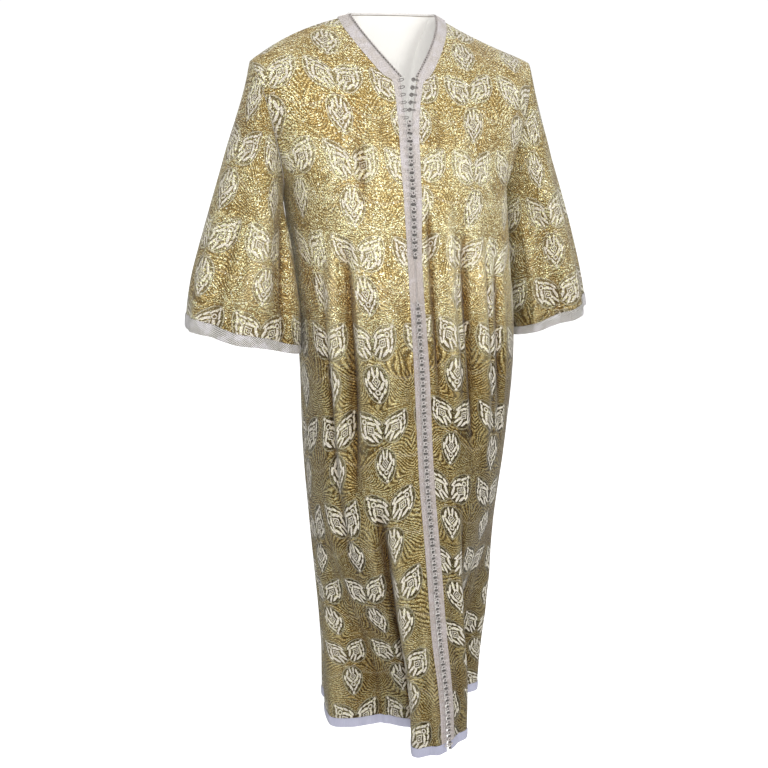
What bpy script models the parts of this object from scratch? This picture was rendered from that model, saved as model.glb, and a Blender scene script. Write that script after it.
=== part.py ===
"""Moroccan kaftan, worn shape, hollow.

Metres, +Z up.  The origin is the middle of the neck base, between the two
side-neck points.  The front faces -Y and the wearer's right is -X.
"Drop" is the distance below the neck base.
"""
import math

import bpy
import bmesh
import numpy as np

for _ob in list(bpy.data.objects):
    bpy.data.objects.remove(_ob, do_unlink=True)

# ---------------------------------------------------------------- sizes
WALL = 0.0012            # brocade wall
SEAM = 0.0003            # clearance at every seam
BRAID_LIFT = 0.0003      # clearance between cloth and braid
BRAID_THICK = 0.0014     # woven braid
FRONT_BRAID = 0.0125     # width of the braid down each front edge
NECK_BRAID = 0.0205      # width round the neck
CUFF_BRAID = 0.0165      # width round the cuffs
HEM_BRAID = 0.0190       # width round the hem

NECK_HALF = 0.080        # side-neck point, sideways
NECK_FRONT = (0.0155, -0.100, 0.106)    # front neck corner: sideways, depth, drop
NECK_CURVE = (0.0760, -0.050, 0.030)    # pull point of the neck curve
NECK_BACK = (0.058, -0.004)             # back neck: depth, drop
SHOULDER_HALF = 0.257
SHOULDER_DROP = 0.078
ARMHOLE_LOW = (0.205, 0.300)            # armpit: sideways, drop
ARMHOLE_DEEP = 0.062                    # armhole, front to middle
HEM_DROP = 1.345
BACK_NECK_LIFT = 0.0034  # the back neck braid lies a little freer
BEAD_PITCH = 0.0124      # one knotted button to the next
BEAD_R = 0.0040
BEAD_JOIN_R = 0.0013
BEAD_UP = 0.0010         # button centre in front of the cloth
LOOP_THICK = 0.0012
EDGE_CORD_R = 0.0012     # edging cord round the neck
BUTTONS_CHEST = (0.176, 0.405)          # drops of the fastened rows
BUTTONS_LOWER = (0.480, 1.334)
BUTTONS_OPEN_TO_CHEST = (0.106, 0.405)
BUTTONS_OPEN_FROM = 0.112
OPEN_BUTTONS = 5

# Horizontal sections of the body.  x is sideways, y is depth, p is the
# squareness of each quarter (2 is an ellipse).
SECTION_COLUMNS = ("drop", "x_front", "y_front", "x_right", "y_right", "x_left",
                   "y_left", "x_back", "y_back", "p_right", "p_left", "p_back")
SECTIONS = (
    (0.300, -0.017, -0.184, -0.205, 0.000, 0.205, 0.000, 0.000, 0.118, 2.5, 2.5, 2.4),
    (0.420, -0.015, -0.194, -0.191, -0.004, 0.210, -0.010, 0.004, 0.120, 2.4, 2.5, 2.3),
    (0.600, -0.003, -0.197, -0.180, -0.010, 0.221, -0.020, 0.010, 0.122, 2.3, 2.4, 2.2),
    (0.800, 0.007, -0.200, -0.174, -0.010, 0.205, -0.026, 0.014, 0.130, 2.2, 2.2, 2.1),
    (0.960, 0.021, -0.202, -0.162, -0.010, 0.195, -0.002, 0.018, 0.138, 2.1, 1.9, 2.1),
    (1.110, 0.033, -0.205, -0.149, -0.014, 0.196, 0.026, 0.024, 0.148, 1.9, 1.6, 2.1),
    (1.240, 0.048, -0.207, -0.144, -0.022, 0.198, 0.058, 0.030, 0.158, 1.7, 1.4, 2.1),
    (1.345, 0.054, -0.208, -0.141, -0.030, 0.201, 0.080, 0.032, 0.166, 1.6, 1.3, 2.1),
)

# Middle of the front opening above the armpit level.
FRONT_EDGE_COLUMNS = ("drop", "x_front", "y_front")
FRONT_EDGE = (
    (0.106, 0.0000, -0.1000), (0.170, -0.0092, -0.1320),
    (0.235, -0.0150, -0.1620), (0.300, -0.0170, -0.1840),
)
NECK_SHARE = 0.45        # share of the upper front's edge that is neckline

# Half of the gap between the two front edges.
OPENING_COLUMNS = ("drop", "half_gap")
OPENING = (
    (0.106, 0.0155), (0.145, 0.0105), (0.175, 0.0066), (0.210, 0.0051),
    (0.250, 0.0050), (0.300, 0.0050), (0.400, 0.0050), (0.550, 0.0050),
    (0.800, 0.0050), (1.100, 0.0050), (1.345, 0.0050),
)

# Folds of the body.  "at" is the distance round the cloth from the front edge
# (front panels) or from the right side seam (back) at the fold's two ends;
# height is outward (+) or inward (-); "near" and "far" are the widths of its
# two soft sides, and "flat" is the half width of its level middle.
FOLD_COLUMNS = ("panel", "at_top", "at_low", "drop_top", "drop_low", "fade_in",
                "fade_out", "height", "near", "far", "flat")
FOLDS = (
    # wearer's right front
    ("right", 0.089, 0.087, 0.150, 0.330, 0.070, 0.090, -0.0060, 0.022, 0.022, 0.000),
    ("right", 0.120, 0.134, 0.340, 0.900, 0.120, 0.200, -0.0140, 0.015, 0.022, 0.003),
    ("right", 0.152, 0.166, 0.360, 0.900, 0.120, 0.240, 0.0070, 0.018, 0.020, 0.000),
    ("right", 0.062, 0.052, 0.360, 1.000, 0.160, 0.300, 0.0070, 0.034, 0.034, 0.000),
    ("right", 0.186, 0.163, 0.560, 1.080, 0.160, 0.240, -0.0080, 0.020, 0.020, 0.000),
    ("right", 0.096, 0.071, 0.800, 1.420, 0.160, 0.300, -0.0200, 0.018, 0.026, 0.002),
    ("right", 0.148, 0.139, 0.880, 1.420, 0.430, 0.001, -0.0930, 0.026, 0.085, 0.045),
    ("right", 0.037, 0.019, 0.960, 1.420, 0.200, 0.001, 0.0080, 0.020, 0.026, 0.000),
    # wearer's left front
    ("left", 0.029, 0.032, 0.280, 0.720, 0.100, 0.180, -0.0070, 0.011, 0.013, 0.000),
    ("left", 0.063, 0.063, 0.280, 0.760, 0.120, 0.200, 0.0100, 0.018, 0.018, 0.000),
    ("left", 0.095, 0.096, 0.330, 0.800, 0.120, 0.200, -0.0100, 0.016, 0.014, 0.000),
    ("left", 0.125, 0.127, 0.330, 0.860, 0.120, 0.240, 0.0110, 0.018, 0.020, 0.000),
    ("left", 0.171, 0.170, 0.350, 0.800, 0.120, 0.200, -0.0080, 0.020, 0.020, 0.000),
    ("left", 0.056, 0.056, 0.800, 1.420, 0.240, 0.001, 0.0100, 0.024, 0.012, 0.002),
    ("left", 0.104, 0.134, 0.860, 1.420, 0.400, 0.001, -0.0700, 0.036, 0.075, 0.030),
    ("left", 0.202, 0.226, 0.900, 1.420, 0.300, 0.001, 0.0080, 0.024, 0.024, 0.000),
    # back
    ("back", 0.120, 0.110, 0.340, 1.420, 0.200, 0.001, 0.0130, 0.028, 0.028, 0.000),
    ("back", 0.190, 0.176, 0.420, 1.420, 0.240, 0.001, -0.0190, 0.030, 0.026, 0.004),
    ("back", 0.262, 0.262, 0.300, 1.420, 0.240, 0.001, 0.0150, 0.030, 0.034, 0.004),
    ("back", 0.340, 0.356, 0.380, 1.420, 0.240, 0.001, -0.0200, 0.030, 0.032, 0.004),
    ("back", 0.420, 0.440, 0.460, 1.420, 0.240, 0.001, 0.0140, 0.028, 0.026, 0.000),
    ("back", 0.060, 0.056, 0.700, 1.420, 0.240, 0.001, -0.0100, 0.022, 0.022, 0.000),
    ("back", 0.500, 0.520, 0.760, 1.420, 0.240, 0.001, -0.0090, 0.024, 0.024, 0.000),
)

# How much lower (+) or higher (-) the hem hangs at a distance round each front.
HEM_DIP_COLUMNS = ("at", "right", "left")
HEM_DIPS = (
    (0.000, -0.0029, -0.0050), (0.019, -0.0010, -0.0050), (0.040, 0.0051, -0.0055),
    (0.064, 0.0120, -0.0062), (0.084, 0.0080, -0.0075), (0.104, 0.0040, -0.0089),
    (0.125, 0.0048, -0.0109), (0.146, 0.0055, -0.0130), (0.180, 0.0065, -0.0155),
    (0.201, 0.0070, -0.0170), (0.260, 0.0072, -0.0177), (0.281, 0.0064, -0.0180),
    (0.340, 0.0043, -0.0158), (0.361, 0.0037, -0.0150), (0.500, 0.0000, -0.0098),
)
HEM_DIP_FROM = 0.72

# The end ring of each sleeve: middle, half sizes, and how much lower the
# inner side hangs than the outer side.
CUFF_COLUMNS = ("side", "x", "y", "drop", "half_wide", "half_deep", "tilt", "square")
CUFFS = (
    ("right", -0.2870, -0.028, 0.5640, 0.0990, 0.070, 0.0275, 2.5),
    ("left", 0.3065, -0.010, 0.5565, 0.0770, 0.076, 0.0265, 2.2),
)

# Folds of the sleeves.  "turn" is the angle round the sleeve in degrees: 0 is
# the outer side, 90 the front, 180 the side next to the body, 270 the back.
SLEEVE_FOLD_COLUMNS = ("side", "turn_top", "turn_low", "from_t", "to_t", "fade",
                       "height", "round")
SLEEVE_FOLDS = (
    ("right", 128, 112, 0.10, 0.95, 0.25, -0.0080, 17),
    ("right", 96, 78, 0.18, 1.30, 0.25, 0.0070, 18),
    ("right", 62, 44, 0.30, 1.30, 0.30, -0.0060, 16),
    ("right", 30, 22, 0.20, 1.30, 0.30, 0.0040, 16),
    ("right", 4, 4, 0.00, 1.12, 0.36, 0.0110, 30),
    ("right", 166, 162, 0.16, 1.06, 0.22, 0.0075, 24),
    ("right", 150, 148, 0.06, 0.90, 0.20, 0.0065, 15),
    ("right", 300, 310, 0.25, 1.30, 0.30, -0.0070, 18),
    ("right", 262, 256, 0.15, 1.30, 0.30, 0.0060, 18),
    ("right", 226, 222, 0.25, 1.30, 0.30, -0.0060, 16),
    ("left", 112, 100, 0.10, 1.30, 0.25, -0.0070, 16),
    ("left", 78, 66, 0.18, 1.30, 0.25, 0.0070, 16),
    ("left", 46, 38, 0.25, 1.30, 0.30, -0.0060, 15),
    ("left", 300, 306, 0.20, 1.30, 0.30, -0.0070, 18),
    ("left", 262, 258, 0.15, 1.30, 0.30, 0.0060, 18),
    ("left", 226, 220, 0.25, 1.30, 0.30, -0.0060, 16),
)

SHOULDER_SAG = {"right": -0.0055, "left": 0.0085}   # how far each shoulder line dips midway
BACK_SHOULDER = 0.345    # share of the back's top edge along each shoulder


# ---------------------------------------------------------------- small maths
def smooth(x):
    x = np.clip(x, 0.0, 1.0)
    return x * x * (3.0 - 2.0 * x)


def spline(xs, ys, x):
    """Smooth curve through the rows of a table."""
    xs, ys, x = np.asarray(xs, float), np.asarray(ys, float), np.asarray(x, float)
    slope = np.gradient(ys, xs)
    x = np.clip(x, xs[0], None)
    i = np.clip(np.searchsorted(xs, x, side="right") - 1, 0, len(xs) - 2)
    h = xs[i + 1] - xs[i]
    t = np.clip((x - xs[i]) / h, 0.0, 1.0)
    over = np.clip(x - xs[-1], 0.0, None)
    t2, t3 = t * t, t * t * t
    return ((2 * t3 - 3 * t2 + 1) * ys[i] + (t3 - 2 * t2 + t) * h * slope[i]
            + (3 * t2 - 2 * t3) * ys[i + 1] + (t3 - t2) * h * slope[i + 1]
            + over * slope[-1])


def column(table, names, name, x, key="drop"):
    k, j = names.index(key), names.index(name)
    return spline([r[k] for r in table], [r[j] for r in table], x)


def unit(v):
    n = np.linalg.norm(v, axis=-1, keepdims=True)
    return v / np.maximum(n, 1e-12)


def hermite(a, ma, b, mb, t):
    t2, t3 = t * t, t * t * t
    return ((2 * t3 - 3 * t2 + 1) * a + (t3 - 2 * t2 + t) * ma
            + (3 * t2 - 2 * t3) * b + (t3 - t2) * mb)


def bump(d, near, far, flat):
    """1 within flat of the middle, falling softly over near and far."""
    q = np.clip((np.abs(d) - flat) / np.where(d < 0.0, near, far), 0.0, 1.0)
    return 0.5 + 0.5 * np.cos(np.pi * q)


# ---------------------------------------------------------------- the body
def section(panel, drop, count=241):
    """One panel's horizontal section at each drop, as dense points (R, N, 2)."""
    drop = np.asarray(drop, float)[:, None]

    def c(name):
        return column(SECTIONS, SECTION_COLUMNS, name, drop)
    ang = np.linspace(0.0, 0.5 * math.pi, count)[None, :]
    sn, cs = np.sin(ang), np.cos(ang)
    if panel in ("right", "left"):
        xs, ys, p = c("x_" + panel), c("y_" + panel), c("p_" + panel)
        x = c("x_front") + (xs - c("x_front")) * sn ** (2.0 / p)
        y = ys + (c("y_front") - ys) * cs ** (2.0 / p)
    else:
        p, xb, yb = c("p_back"), c("x_back"), c("y_back")
        xr, yr, xl, yl = c("x_right"), c("y_right"), c("x_left"), c("y_left")
        x1 = xb + (xr - xb) * cs ** (2.0 / p)
        y1 = yr + (yb - yr) * sn ** (2.0 / p)
        x2 = xb + (xl - xb) * cs ** (2.0 / p)
        y2 = yl + (yb - yl) * sn ** (2.0 / p)
        x = np.concatenate([x1, x2[:, -2::-1]], 1)
        y = np.concatenate([y1, y2[:, -2::-1]], 1)
    return np.stack([x, y], -1)


def section_length(panel, drop):
    s = section(panel, drop)
    return np.linalg.norm(np.diff(s, axis=1), axis=2).sum(1)


def fold_height(panel, at, drop):
    """Outward shift of the cloth at a distance round the panel and a drop."""
    out = np.zeros(np.broadcast(at, drop).shape)
    for row in FOLDS:
        f = dict(zip(FOLD_COLUMNS, row))
        if f["panel"] != panel:
            continue
        k = np.clip((drop - f["drop_top"]) / (f["drop_low"] - f["drop_top"]), 0, 1)
        mid = f["at_top"] + (f["at_low"] - f["at_top"]) * k
        fade = (smooth((drop - f["drop_top"]) / f["fade_in"])
                * smooth((f["drop_low"] - drop) / f["fade_out"]))
        out += f["height"] * fade * bump(at - mid, f["near"], f["far"], f["flat"])
    return out


def seam_fade(panel, at, length):
    """Folds die out at the side seams and at the front edge."""
    side = smooth((length - at) / 0.040)
    if panel == "back":
        return side * smooth(at / 0.040)
    return side * smooth(at / 0.012)


def hem_dip(panel, at, drop, length):
    if panel == "back":
        return np.zeros_like(at)
    dip = column(HEM_DIPS, HEM_DIP_COLUMNS, panel, at, key="at")
    return (dip * smooth((length - at) / 0.070)
            * smooth((drop - HEM_DIP_FROM) / (HEM_DROP - HEM_DIP_FROM)))


def body_low(panel, cols, drop, folds=True):
    """Cloth points below the armpit.

    cols holds pairs (k, g): k is the share of the braid's width and g the share
    of what is left of the panel, so the cloth has points under the braid's edge.
    """
    dense = section(panel, drop)
    step = np.linalg.norm(np.diff(dense, axis=1), axis=2)
    arc = np.concatenate([np.zeros((len(dense), 1)), np.cumsum(step, 1)], 1)
    tang = unit(np.gradient(dense, axis=1))
    turn = 1.0 if panel == "left" else -1.0
    norm = np.stack([tang[..., 1], -tang[..., 0]], -1) * turn
    gap, band = np.zeros(len(dense)), 0.0
    if panel != "back":
        gap = column(OPENING, OPENING_COLUMNS, "half_gap", drop)
        band = FRONT_BRAID
    k, g = cols
    out = np.zeros((len(dense), len(k), 3))
    at_all = np.zeros((len(dense), len(k)))
    for r in range(len(dense)):
        length = arc[r, -1]
        at = gap[r] + k * band + g * (length - gap[r] - band)
        for j in range(2):
            out[r, :, j] = np.interp(at, arc[r], dense[r, :, j])
        n = unit(np.stack([np.interp(at, arc[r], norm[r, :, j]) for j in range(2)], -1))
        if folds:
            h = fold_height(panel, at, np.full_like(at, drop[r])) * seam_fade(panel, at, length)
            out[r, :, :2] += n * h[:, None]
        out[r, :, 2] = -drop[r] - hem_dip(panel, at, drop[r], length)
        at_all[r] = at
    return out, at_all


def armhole(side, angle, push=0.0):
    """Armhole edge.  angle 0 is the shoulder end, pi/2 the front, pi the armpit."""
    mid = 0.5 * (SHOULDER_DROP + ARMHOLE_LOW[1])
    half = 0.5 * (ARMHOLE_LOW[1] - SHOULDER_DROP)
    xm = 0.5 * (SHOULDER_HALF + ARMHOLE_LOW[0])
    xh = 0.5 * (SHOULDER_HALF - ARMHOLE_LOW[0])
    sign = -1.0 if side == "right" else 1.0
    x = sign * (xm + xh * np.cos(angle) + push)
    y = -ARMHOLE_DEEP * np.sin(angle)
    z = -(mid - half * np.cos(angle))
    return np.stack([x, y, z], -1)


def shoulder(side, k):
    """Shoulder line, k 0 at the neck and 1 at the shoulder end."""
    sign = -1.0 if side == "right" else 1.0
    x = NECK_HALF + (SHOULDER_HALF - NECK_HALF) * k
    z = -SHOULDER_DROP * (0.80 * k + 0.20 * k ** 3) - SHOULDER_SAG[side] * np.sin(np.pi * k)
    y = 0.004 * np.sin(np.pi * k)
    return np.stack([sign * x, y, z], -1)


def neck_front(side, k):
    """Front neckline, k 0 at the front corner and 1 at the side neck."""
    sign = -1.0 if side == "right" else 1.0
    a, b, e = NECK_FRONT, NECK_CURVE, (NECK_HALF, 0.0, 0.0)
    p = [(1 - k) ** 2 * a[i] + 2 * k * (1 - k) * b[i] + k * k * e[i] for i in range(3)]
    return np.stack([sign * p[0], p[1], -p[2]], -1)


def neck_back(k):
    """Back neckline from the right side neck (0) to the left side neck (1)."""
    ang = np.pi * k
    x = -NECK_HALF * np.cos(ang)
    y = NECK_BACK[0] * np.sin(ang) ** 0.8
    z = -NECK_BACK[1] * np.sin(ang)
    return np.stack([x, y, z], -1)


def top_line_back(share):
    """Top edge of the back and the way the cloth leaves it."""
    share = np.asarray(share, float)
    pts = np.zeros(share.shape + (3,))
    lead = np.zeros(share.shape + (3,))
    end_way = np.array([0.0, 0.90, -0.45])
    ridge_way = np.array([0.0, 0.97, -0.16])
    near = np.minimum(share, 1.0 - share)           # 0 at the shoulder end
    for side, mask in (("right", share < 0.5), ("left", share >= 0.5)):
        m = mask & (near <= BACK_SHOULDER)
        k = 1.0 - near[m] / BACK_SHOULDER
        pts[m] = shoulder(side, k)
        lead[m] = ridge_way * (1 - k[:, None]) + end_way * k[:, None]
        m = mask & (near > BACK_SHOULDER)
        k = (near[m] - BACK_SHOULDER) / (0.5 - BACK_SHOULDER)
        pts[m] = neck_back(0.5 * k if side == "right" else 1.0 - 0.5 * k)
        kk = smooth(1.4 * k)[:, None]
        lead[m] = ridge_way * (1 - kk) + np.array([0.0, 0.45, -0.89]) * kk
    return pts, unit(lead)


def front_edge(side, v):
    """Edge of a front panel: neckline, then down the opening, v 0..1."""
    v = np.asarray(v, float)
    sign = -1.0 if side == "right" else 1.0
    neck = neck_front(side, 1.0 - np.clip(v / NECK_SHARE, 0.0, 1.0))
    drop = NECK_FRONT[2] + (ARMHOLE_LOW[1] - NECK_FRONT[2]) * np.clip(
        (v - NECK_SHARE) / (1.0 - NECK_SHARE), 0.0, 1.0)
    x = column(FRONT_EDGE, FRONT_EDGE_COLUMNS, "x_front", drop) + \
        sign * column(OPENING, OPENING_COLUMNS, "half_gap", drop)
    y = column(FRONT_EDGE, FRONT_EDGE_COLUMNS, "y_front", drop)
    down = np.stack([x, y, -drop], -1)
    return np.where((v <= NECK_SHARE)[:, None], neck, down)


def front_top(side, cols, v, dense=161):
    """Upper front: rows run from the edge to the armhole, v 0 at the shoulder."""
    sign = -1.0 if side == "right" else 1.0
    v = np.asarray(v, float)
    c = np.linspace(0.0, 1.0, dense)
    d0 = ARMHOLE_LOW[1]
    full = body_low_plain(side, c, np.array([d0, d0 + 0.012]))
    end, slope = full[0], unit(full[1] - full[0])
    top = shoulder(side, c)
    k = c[:, None]
    lead = unit(np.array([0.0, -0.97, -0.16]) * (1 - k) + np.array([sign * 0.02, -0.90, -0.45]) * k)
    chord = np.linalg.norm(end - top, axis=1)[:, None]
    q = hermite(top[None], lead[None] * chord * 1.2, end[None], slope[None] * chord * 1.1,
                v[:, None, None])
    edge, arm = front_edge(side, v), armhole(side, np.pi * v)
    w_edge = (1.0 - smooth(c / 0.80))[None, :, None]
    w_arm = (1.0 - smooth((1.0 - c) / 0.60))[None, :, None]
    p = q + w_edge * (edge - q[:, 0])[:, None] + w_arm * (arm - q[:, -1])[:, None]
    # place the columns by distance along each row, the braid's width first
    along = np.gradient(edge, axis=0)
    band = NECK_BRAID + (FRONT_BRAID - NECK_BRAID) * smooth((v - NECK_SHARE + 0.05) / 0.10)
    kk, gg = cols
    out = np.zeros((len(v), len(kk), 3))
    at_all = np.zeros((len(v), len(kk)))
    gap = column(OPENING, OPENING_COLUMNS, "half_gap", -edge[:, 2])
    for r in range(len(v)):
        arc = np.concatenate([[0.0], np.cumsum(np.linalg.norm(np.diff(p[r], axis=0), axis=1))])
        way = unit(p[r, 4] - p[r, 0])
        sine = np.linalg.norm(np.cross(way, unit(along[r])))
        at = kk * band[r] / max(sine, 0.55)
        at = at + gg * (arc[-1] - band[r] / max(sine, 0.55))
        for j in range(3):
            out[r, :, j] = np.interp(at, arc, p[r, :, j])
        at_all[r] = at
    return out, at_all


def body_low_plain(side, share, drop):
    """Panel section without folds, in even shares from the edge."""
    dense = section(side, drop)
    step = np.linalg.norm(np.diff(dense, axis=1), axis=2)
    arc = np.concatenate([np.zeros((len(dense), 1)), np.cumsum(step, 1)], 1)
    gap = column(OPENING, OPENING_COLUMNS, "half_gap", drop)
    out = np.zeros((len(dense), len(share), 3))
    for r in range(len(dense)):
        at = gap[r] + share * (arc[r, -1] - gap[r])
        for j in range(2):
            out[r, :, j] = np.interp(at, arc[r], dense[r, :, j])
        out[r, :, 2] = -drop[r]
    return out


def back_top(share, v):
    """Back from the top line (v 0) to the armpit level (v 1)."""
    d0 = ARMHOLE_LOW[1]
    share, v = np.asarray(share, float), np.asarray(v, float)
    low, at = body_low("back", (np.zeros(len(share)), share), np.array([d0, d0 + 0.012]), folds=False)
    end, slope = low[0], unit(low[1] - low[0])
    top, lead = top_line_back(share)
    chord = np.linalg.norm(end - top, axis=1)[:, None]
    q = hermite(top[None], lead[None] * chord * 1.25, end[None], slope[None] * chord * 1.15,
                v[:, None, None])
    for side, edge, far in (("right", 0, share), ("left", -1, 1.0 - share)):
        arm = armhole(side, np.pi * v)
        arm[:, 1] *= -1.0
        w = (1.0 - smooth(far / 0.30))[None, :, None]
        q = q + w * (arm - q[:, edge])[:, None]
    return q, np.broadcast_to(at[0], q.shape[:2])


def grid_normals(p, flip):
    du = np.gradient(p, axis=1)
    dv = np.gradient(p, axis=0)
    return unit(np.cross(du, dv)) * (-1.0 if flip else 1.0)


def top_distance(panel, pts, at_low):
    """Distance round the cloth used to place folds above the armpit level."""
    drop = -pts[..., 2]
    if panel == "back":
        flat = 0.5 * at_low.max() + pts[..., 0] * 1.06
    else:
        mid = column(SECTIONS, SECTION_COLUMNS, "x_front", np.maximum(drop, 0.30))
        flat = np.abs(pts[..., 0] - mid) * 1.05
    w = smooth((drop - 0.20) / 0.10)
    return flat * (1 - w) + at_low[None, :] * w


def body_panel(panel, cols, t_top, drops):
    """Whole panel: rows from the top line to the hem."""
    if panel == "back":
        top, _ = back_top(cols[1], t_top)
    else:
        top, _ = front_top(panel, cols, t_top)
    _, at_low = body_low(panel, cols, np.array([ARMHOLE_LOW[1]]), folds=False)
    dist = top_distance(panel, top, at_low[0])
    length = section_length(panel, np.array([ARMHOLE_LOW[1]]))[0]
    h = fold_height(panel, dist, -top[..., 2])
    edge = 0.012 if panel != "back" else 0.040
    h = h * smooth((length - dist) / 0.040) * smooth(dist / edge)
    top = top + grid_normals(top, panel == "left") * h[..., None]
    low, _ = body_low(panel, cols, np.asarray(drops, float))
    return np.concatenate([top, low], 0)


# ---------------------------------------------------------------- the sleeves
def sleeve(side, turn, t):
    """Sleeve points.  turn in radians round the sleeve, t 0 armhole to 1 cuff."""
    turn = np.asarray(turn, float)
    sign = -1.0 if side == "right" else 1.0
    c = dict(zip(CUFF_COLUMNS, [r for r in CUFFS if r[0] == side][0]))
    top = armhole(side, turn, push=0.0007)
    cs, sn, q = np.cos(turn), np.sin(turn), 2.0 / c["square"]
    end = np.stack([c["x"] + sign * c["half_wide"] * np.sign(cs) * np.abs(cs) ** q,
                    c["y"] - c["half_deep"] * np.sign(sn) * np.abs(sn) ** q,
                    -(c["drop"] - c["tilt"] * np.cos(turn))], -1)
    chord = np.linalg.norm(end - top, axis=-1)[:, None]
    out = (0.5 + 0.5 * np.cos(turn))[:, None]
    frt = np.sin(turn)[:, None]
    lead = unit(out * np.array([sign * 0.16, 0.0, -1.0])
                + (1 - out) * np.array([sign * 0.04, 0.0, -1.0])
                + frt * np.array([sign * 0.05, -0.30, 0.0]))
    tail = unit(out * np.array([sign * 0.16, 0.0, -1.0])
                + (1 - out) * np.array([-sign * 0.02, 0.0, -1.0])
                + frt * np.array([0.0, -0.02, 0.0]))
    t = np.asarray(t, float)[:, None, None]
    p = hermite(top[None], lead[None] * chord * 1.0, end[None], tail[None] * chord * 1.0, t)
    # outward way, from the middle of each ring
    mid = p.mean(axis=1, keepdims=True)
    way = p - mid
    way[..., 2] = 0.0
    way = unit(way)
    deg = np.degrees(turn)[None, :]
    tt = t[..., 0]
    h = np.zeros(p.shape[:2])
    for row in SLEEVE_FOLDS:
        f = dict(zip(SLEEVE_FOLD_COLUMNS, row))
        if f["side"] != side:
            continue
        k = np.clip((tt - f["from_t"]) / (f["to_t"] - f["from_t"]), 0, 1)
        m = f["turn_top"] + (f["turn_low"] - f["turn_top"]) * k
        d = (deg - m + 180.0) % 360.0 - 180.0
        h += (f["height"] * smooth((tt - f["from_t"]) / f["fade"])
              * smooth((f["to_t"] - tt) / f["fade"]) * bump(d, 1.6 * f["round"], 1.6 * f["round"], 0.0))
    return p + way * h[..., None]


# ---------------------------------------------------------------- mesh makers
def add(name, verts, faces, colour, rough, metal, sharp=50.0):
    me = bpy.data.meshes.new(name)
    me.from_pydata([tuple(map(float, v)) for v in verts], [], [tuple(map(int, f)) for f in faces])
    me.validate()
    bm = bmesh.new()
    bm.from_mesh(me)
    bmesh.ops.recalc_face_normals(bm, faces=bm.faces)
    bm.to_mesh(me)
    bm.free()
    me.shade_smooth()
    me.set_sharp_from_angle(angle=math.radians(sharp))
    ob = bpy.data.objects.new(name, me)
    bpy.context.scene.collection.objects.link(ob)
    ma = bpy.data.materials.new("mat_" + name)
    ma.use_nodes = True
    bsdf = ma.node_tree.nodes["Principled BSDF"]
    bsdf.inputs["Base Color"].default_value = colour + (1.0,)
    bsdf.inputs["Roughness"].default_value = rough
    bsdf.inputs["Metallic"].default_value = metal
    ma.diffuse_color = colour + (1.0,)
    me.materials.append(ma)
    return ob


def sheet_solid(outer, inner, wrap=False):
    """Closed wall between two grids of the same shape."""
    rows, cols = outer.shape[:2]
    verts = list(outer.reshape(-1, 3)) + list(inner.reshape(-1, 3))
    base = rows * cols
    faces = []

    def o(r, c):
        return r * cols + c % cols

    def i(r, c):
        return base + r * cols + c % cols
    last = cols if wrap else cols - 1
    for r in range(rows - 1):
        for c in range(last):
            faces.append((o(r, c), o(r, c + 1), o(r + 1, c + 1), o(r + 1, c)))
            faces.append((i(r, c), i(r + 1, c), i(r + 1, c + 1), i(r, c + 1)))
    for c in range(last):
        faces.append((o(0, c), i(0, c), i(0, c + 1), o(0, c + 1)))
        faces.append((o(rows - 1, c), o(rows - 1, c + 1), i(rows - 1, c + 1), i(rows - 1, c)))
    if not wrap:
        for r in range(rows - 1):
            faces.append((o(r, 0), o(r + 1, 0), i(r + 1, 0), i(r, 0)))
            faces.append((o(r, cols - 1), i(r, cols - 1), i(r + 1, cols - 1), o(r + 1, cols - 1)))
    return verts, faces


def wrap_normals(p, flip):
    du = np.roll(p, -1, axis=1) - np.roll(p, 1, axis=1)
    dv = np.gradient(p, axis=0)
    return unit(np.cross(du, dv)) * (-1.0 if flip else 1.0)


def tube(path, radii, sides):
    """Closed round tube along a path, with a radius at each point."""
    path = np.asarray(path, float)
    tang = unit(np.gradient(path, axis=0))
    up = np.array([0.0, -1.0, 0.2])
    side = unit(np.cross(tang, up))
    other = np.cross(side, tang)
    verts, faces = [], []
    for p, s, q, r in zip(path, side, other, radii):
        for k in range(sides):
            a = 2 * math.pi * k / sides
            verts.append(p + r * (math.cos(a) * s + math.sin(a) * q))
    n = len(path)
    for j in range(n - 1):
        for k in range(sides):
            k2 = (k + 1) % sides
            faces.append((j * sides + k, j * sides + k2, (j + 1) * sides + k2, (j + 1) * sides + k))
    faces.append(tuple(range(sides - 1, -1, -1)))
    faces.append(tuple((n - 1) * sides + k for k in range(sides)))
    return verts, faces


def near_index(points, grid):
    """Index of the grid point nearest to each point."""
    flat = grid.reshape(-1, 3)
    return np.array([np.argmin(((flat - q) ** 2).sum(1)) for q in points.reshape(-1, 3)])


def surface_normals(points, grid, normals):
    i = near_index(points, grid)
    return normals.reshape(-1, 3)[i].reshape(points.shape)


def onto(points, grid, normals):
    """Drop points onto the cloth along its own normal."""
    i = near_index(points, grid)
    n, g = normals.reshape(-1, 3)[i], grid.reshape(-1, 3)[i]
    flat = points.reshape(-1, 3)
    return (flat - n * ((flat - g) * n).sum(1)[:, None]).reshape(points.shape), n.reshape(points.shape)


def walk_from_neck(path, grid, normals, width, steps):
    """Rows of points from a neckline outward over the cloth."""
    tang = unit(np.gradient(path, axis=0))
    q, n = onto(path, grid, normals)
    way = unit(np.cross(n, tang))
    away = path - path.mean(0)
    way *= np.sign((way * away).sum(1))[:, None]
    way[0], way[-1] = unit(shoulder("right", np.array([0.1]))[0] - path[0]), \
        unit(shoulder("left", np.array([0.1]))[0] - path[-1])
    first = way.copy()
    rows = [path.copy()]
    q = path.copy()
    for _ in range(steps):
        q = q + way * (width / steps)
        q, n = onto(q, grid, normals)
        way = unit(way - n * (way * n).sum(1)[:, None])
        rows.append(q.copy())
    return np.stack(rows, 1), first


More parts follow.
